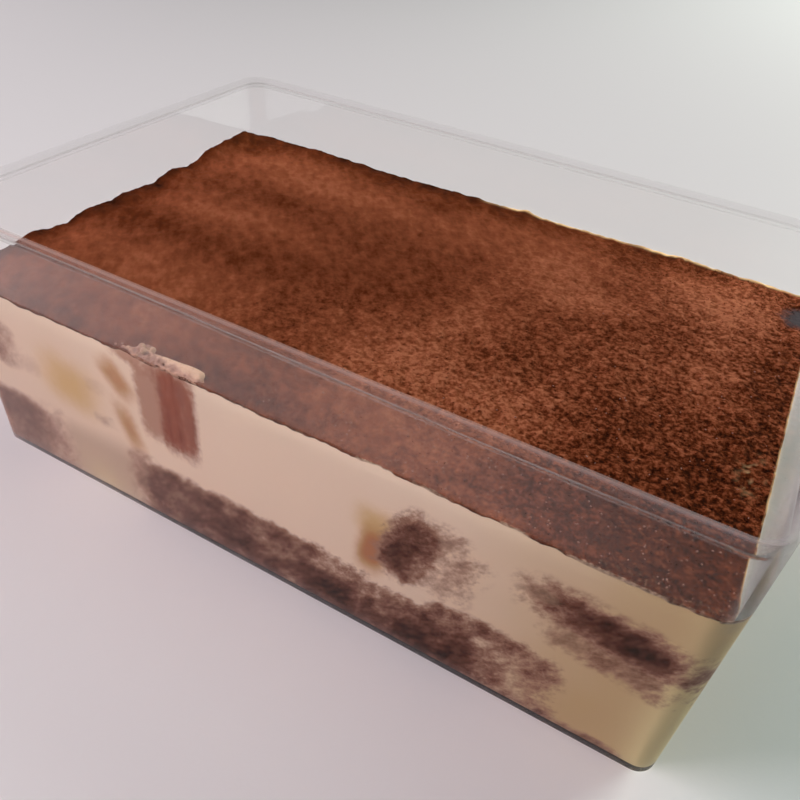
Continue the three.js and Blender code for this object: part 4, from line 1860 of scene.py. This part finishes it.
@dataclass
class CrumbScatter:
    """Loose crumbs on a surface, placed by a node tree. Their sizes are radii."""

    name: str
    material: bpy.types.Material
    size: float
    spread: float
    density: float
    seed: int

    def tree(self) -> bpy.types.NodeTree:
        """Make the tree: points on the faces, a pebble on each, realized and dressed.

        Returns:
            The tree, whose inputs are named as `build` sets them.
        """
        tree = bpy.data.node_groups.new(self.name + "_scatter", "GeometryNodeTree")
        for label, kind in (
            ("Surface", "Geometry"),
            ("Crumb size", "Float"),
            ("Size spread", "Float"),
            ("Crumbs per square metre", "Float"),
            ("Seed", "Int"),
        ):
            tree.interface.new_socket(label, in_out="INPUT", socket_type="NodeSocket" + kind)
        tree.interface.new_socket("Crumbs", in_out="OUTPUT", socket_type="NodeSocketGeometry")

        def add(kind: str, inputs: dict | None = None, **settings: object) -> bpy.types.Node:
            """Add a node to this tree."""
            return add_node(tree, kind, inputs or {}, settings)

        given = add("NodeGroupInput").outputs
        share = add("GeometryNodeInputNamedAttribute", {"Name": "crumb_share"}, data_type="FLOAT")
        inputs = {0: given["Crumbs per square metre"], 1: share.outputs[0]}
        amount = add("ShaderNodeMath", inputs, operation="MULTIPLY")
        inputs = {"Mesh": given["Surface"], "Density": amount.outputs[0], "Seed": given["Seed"]}
        places = add("GeometryNodeDistributePointsOnFaces", inputs)
        pebble = add("GeometryNodeMeshIcoSphere", {"Radius": 1.0, "Subdivisions": 1})
        sizes = {0: given["Crumb size"], 1: given["Size spread"]}
        low = add("ShaderNodeMath", sizes, operation="SUBTRACT")
        high = add("ShaderNodeMath", sizes, operation="ADD")
        inputs = {"Min": low.outputs[0], "Max": high.outputs[0], "Seed": given["Seed"]}
        scale = add("FunctionNodeRandomValue", inputs, data_type="FLOAT_VECTOR")
        turn = add("FunctionNodeRandomValue", {"Max": (2 * math.pi,) * 3}, data_type="FLOAT_VECTOR")
        inputs = {"Points": places.outputs["Points"], "Instance": pebble.outputs["Mesh"]}
        inputs |= {"Rotation": turn.outputs["Value"], "Scale": scale.outputs["Value"]}
        crumbs = add("GeometryNodeInstanceOnPoints", inputs)
        real = add("GeometryNodeRealizeInstances", {0: crumbs.outputs[0]})
        dress = add("GeometryNodeSetMaterial", {"Geometry": real.outputs[0], "Material": self.material})
        add("NodeGroupOutput", {0: dress.outputs[0]})
        return tree

    def build(self, surface: Thing) -> Thing:
        """Scatter the crumbs.

        Args:
            surface: what they lie on, with a crumb_share on its points.

        Returns:
            The crumbs, one mesh.
        """
        crumbs = bpy.data.objects.new(self.name, surface.data.copy())
        bpy.context.scene.collection.objects.link(crumbs)
        tree = self.tree()
        scatter = crumbs.modifiers.new("scatter", "NODES")
        scatter.node_group = tree
        values = {
            "Crumb size": self.size * MM,
            "Size spread": self.spread * MM,
            "Crumbs per square metre": self.density,
            "Seed": self.seed,
        }
        for item in tree.interface.items_tree:
            if item.item_type == "SOCKET" and item.in_out == "INPUT" and item.name in values:
                scatter[item.identifier] = values[item.name]
        bake_modifiers(crumbs)
        bpy.data.node_groups.remove(tree)
        shade(crumbs)
        return crumbs


@dataclass
class LooseCrumbs:
    """The crumbs that lie on the crust, off the walls and not on its flank."""

    shape: Crust
    off_wall: float = 0.4
    lowest: float = 35.6

    def share(self, crust: Thing, amount: np.ndarray) -> None:
        """Say on the crust's points how many crumbs lie there, in place of what was said before.

        Args:
            crust: the crust.
            amount: a number for each of its points.
        """
        x, y, z = mesh_points(crust).T
        layers = crust.data.attributes
        if "crumb_share" in layers:
            layers.remove(layers["crumb_share"])
        on_top = (self.shape.from_wall(x, y) > self.off_wall) & (z > self.lowest)
        store(crust, "crumb_share", np.where(on_top, amount, 0.0))

    def build(self, crust: Thing) -> tuple[Thing, Thing]:
        """Scatter both kinds: cocoa where the crust is coarse, pale ones with painted glints mostly front
        right.

        Args:
            crust: the crust.

        Returns:
            The cocoa crumbs and the pale glint crumbs.
        """
        x, y, _ = mesh_points(crust).T
        self.share(crust, smoothstep(0.3, 0.55, self.shape.form.coarseness(x, y)))
        cocoa_dust = crust.data.materials[0]
        cocoa = CrumbScatter("cocoa_crumbs", cocoa_dust, size=0.18, spread=0.08, density=5.0e5, seed=7)
        dark = cocoa.build(crust)
        near_corner = smoothstep(-20, 75, x - 1.2 * y) ** 4
        behind_wall = 5 * smoothstep(-28, -32, y) * smoothstep(-20, 45, x)
        self.share(crust, near_corner + behind_wall)
        # Pale crumbs that stand in for glints on moist cocoa: painted highlights.
        moist = GlintCrumb().build()
        pale = CrumbScatter("pale_glint_crumbs", moist, size=0.12, spread=0.06, density=5.0e4, seed=11)
        return dark, pale.build(crust)


# ---------------------------------------------------------------- table and camera


@dataclass(frozen=True)
class Lamp:
    """A square soft light that faces the tray: its place and side, power and colour."""

    name: str
    at: Triple
    side: float
    watts: float
    tint: Triple

    def build(self) -> None:
        """Hang the lamp."""
        data = bpy.data.lights.new(self.name, "AREA")
        data.size = self.side * MM
        data.energy = self.watts
        data.color = self.tint
        lamp = bpy.data.objects.new(self.name, data)
        lamp.location = Vector(self.at) * MM
        lamp.rotation_euler = (-lamp.location).to_track_quat("-Z", "Y").to_euler()
        bpy.context.scene.collection.objects.link(lamp)


@dataclass
class Studio:
    """The pale table, the lights and the camera."""

    table_half: float = 1500.0
    table_drop: float = 0.02
    camera_at: Triple = (51.37, -103.88, 105.58)
    camera_aim: Triple = (14.26, -27.94, 36.3)
    camera_roll: float = 5.27
    camera_lens: float = 33.93
    camera_clip: float = 5.0
    sensor: float = 36.0
    sky: Colour = (1.0, 0.97, 1.0, 1.0)
    sky_strength: float = 0.08
    lamps: tuple[Lamp, ...] = (
        Lamp("window", (-620, -260, 560), 520, 6.0, (1.0, 0.86, 0.93)),
        Lamp("room", (-430, -560, 560), 500, 0.9, (1.0, 0.95, 0.9)),
        Lamp("far_window", (520, 900, 560), 500, 9.0, (0.93, 1.0, 0.92)),
    )

    def table(self) -> None:
        """Lay the table top, a hair under the tray."""
        h, z = self.table_half, -self.table_drop
        corners = np.array([(-h, -h, z), (h, -h, z), (h, h, z), (-h, h, z)])
        table = make_object("table", corners, [(0, 1, 2, 3)])
        table.data.materials.append(PaleTable().build())

    def surround(self) -> None:
        """Light everything a little from all sides."""
        world = bpy.data.worlds.new("surround")
        world.use_nodes = True
        background = world.node_tree.nodes["Background"]
        background.inputs["Color"].default_value = self.sky
        background.inputs["Strength"].default_value = self.sky_strength
        bpy.context.scene.world = world

    def camera(self) -> None:
        """Set the camera, a hand's breadth from the right front corner and above it."""
        data = bpy.data.cameras.new("camera")
        data.lens = self.camera_lens
        data.sensor_width = self.sensor
        data.clip_start = self.camera_clip * MM
        camera = bpy.data.objects.new("camera", data)
        place, aim = Vector(self.camera_at) * MM, Vector(self.camera_aim) * MM
        look = (aim - place).to_track_quat("-Z", "Y").to_matrix()
        roll = Matrix.Rotation(math.radians(self.camera_roll), 3, "Z")
        camera.matrix_world = Matrix.Translation(place) @ (look @ roll).to_4x4()
        bpy.context.scene.collection.objects.link(camera)
        bpy.context.scene.camera = camera

    def build(self) -> None:
        """Set up the whole studio."""
        self.table()
        for lamp in self.lamps:
            lamp.build()
        self.surround()
        self.camera()
        view = bpy.context.scene.view_settings
        view.view_transform = "Standard"
        view.look = "None"


# ------------------------------------------------------------------------- assembly


def fit(piece: Thing, nodes: Iterable[str] = ()) -> None:
    """Put a finished piece on the frame.

    Args:
        piece: the piece, in its place.
        nodes: the solids of the frame that it stands for.
    """
    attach(piece, ROOT)
    if nodes:
        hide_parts(*nodes)
    LOG.info("%s: %d faces", piece.name, len(piece.data.polygons))


def corners(box: Iterable[Vector]) -> list[list[float]]:
    """A box's corners as plain lists, in metres."""
    return [[round(float(v), 6) for v in corner] for corner in box]


def main() -> None:
    """Build the dressed tiramisu."""
    logging.basicConfig(level=logging.INFO, format="%(name)s: %(message)s")
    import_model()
    Studio().build()

    tray_form = TrayForm()
    crust_form = CrustForm(tray_form)
    fit(Tray(tray_form).build(), ["tray"])

    slots = {finger.name: finger.slot for finger in FINGERS}
    slots |= {"cream": "cream", "cocoa_smear": "cocoa"}
    for node, piece in Layers(tray_form, crust_form).build().items():
        fit(piece, [node])

    shape = Crust(crust_form)
    crust = shape.build()
    fit(crust, ["cocoa"])
    for crumbs in LooseCrumbs(shape).build(crust):
        fit(crumbs)
    fit(Ridge(crust_form).build())


if __name__ == "__main__":
    main()
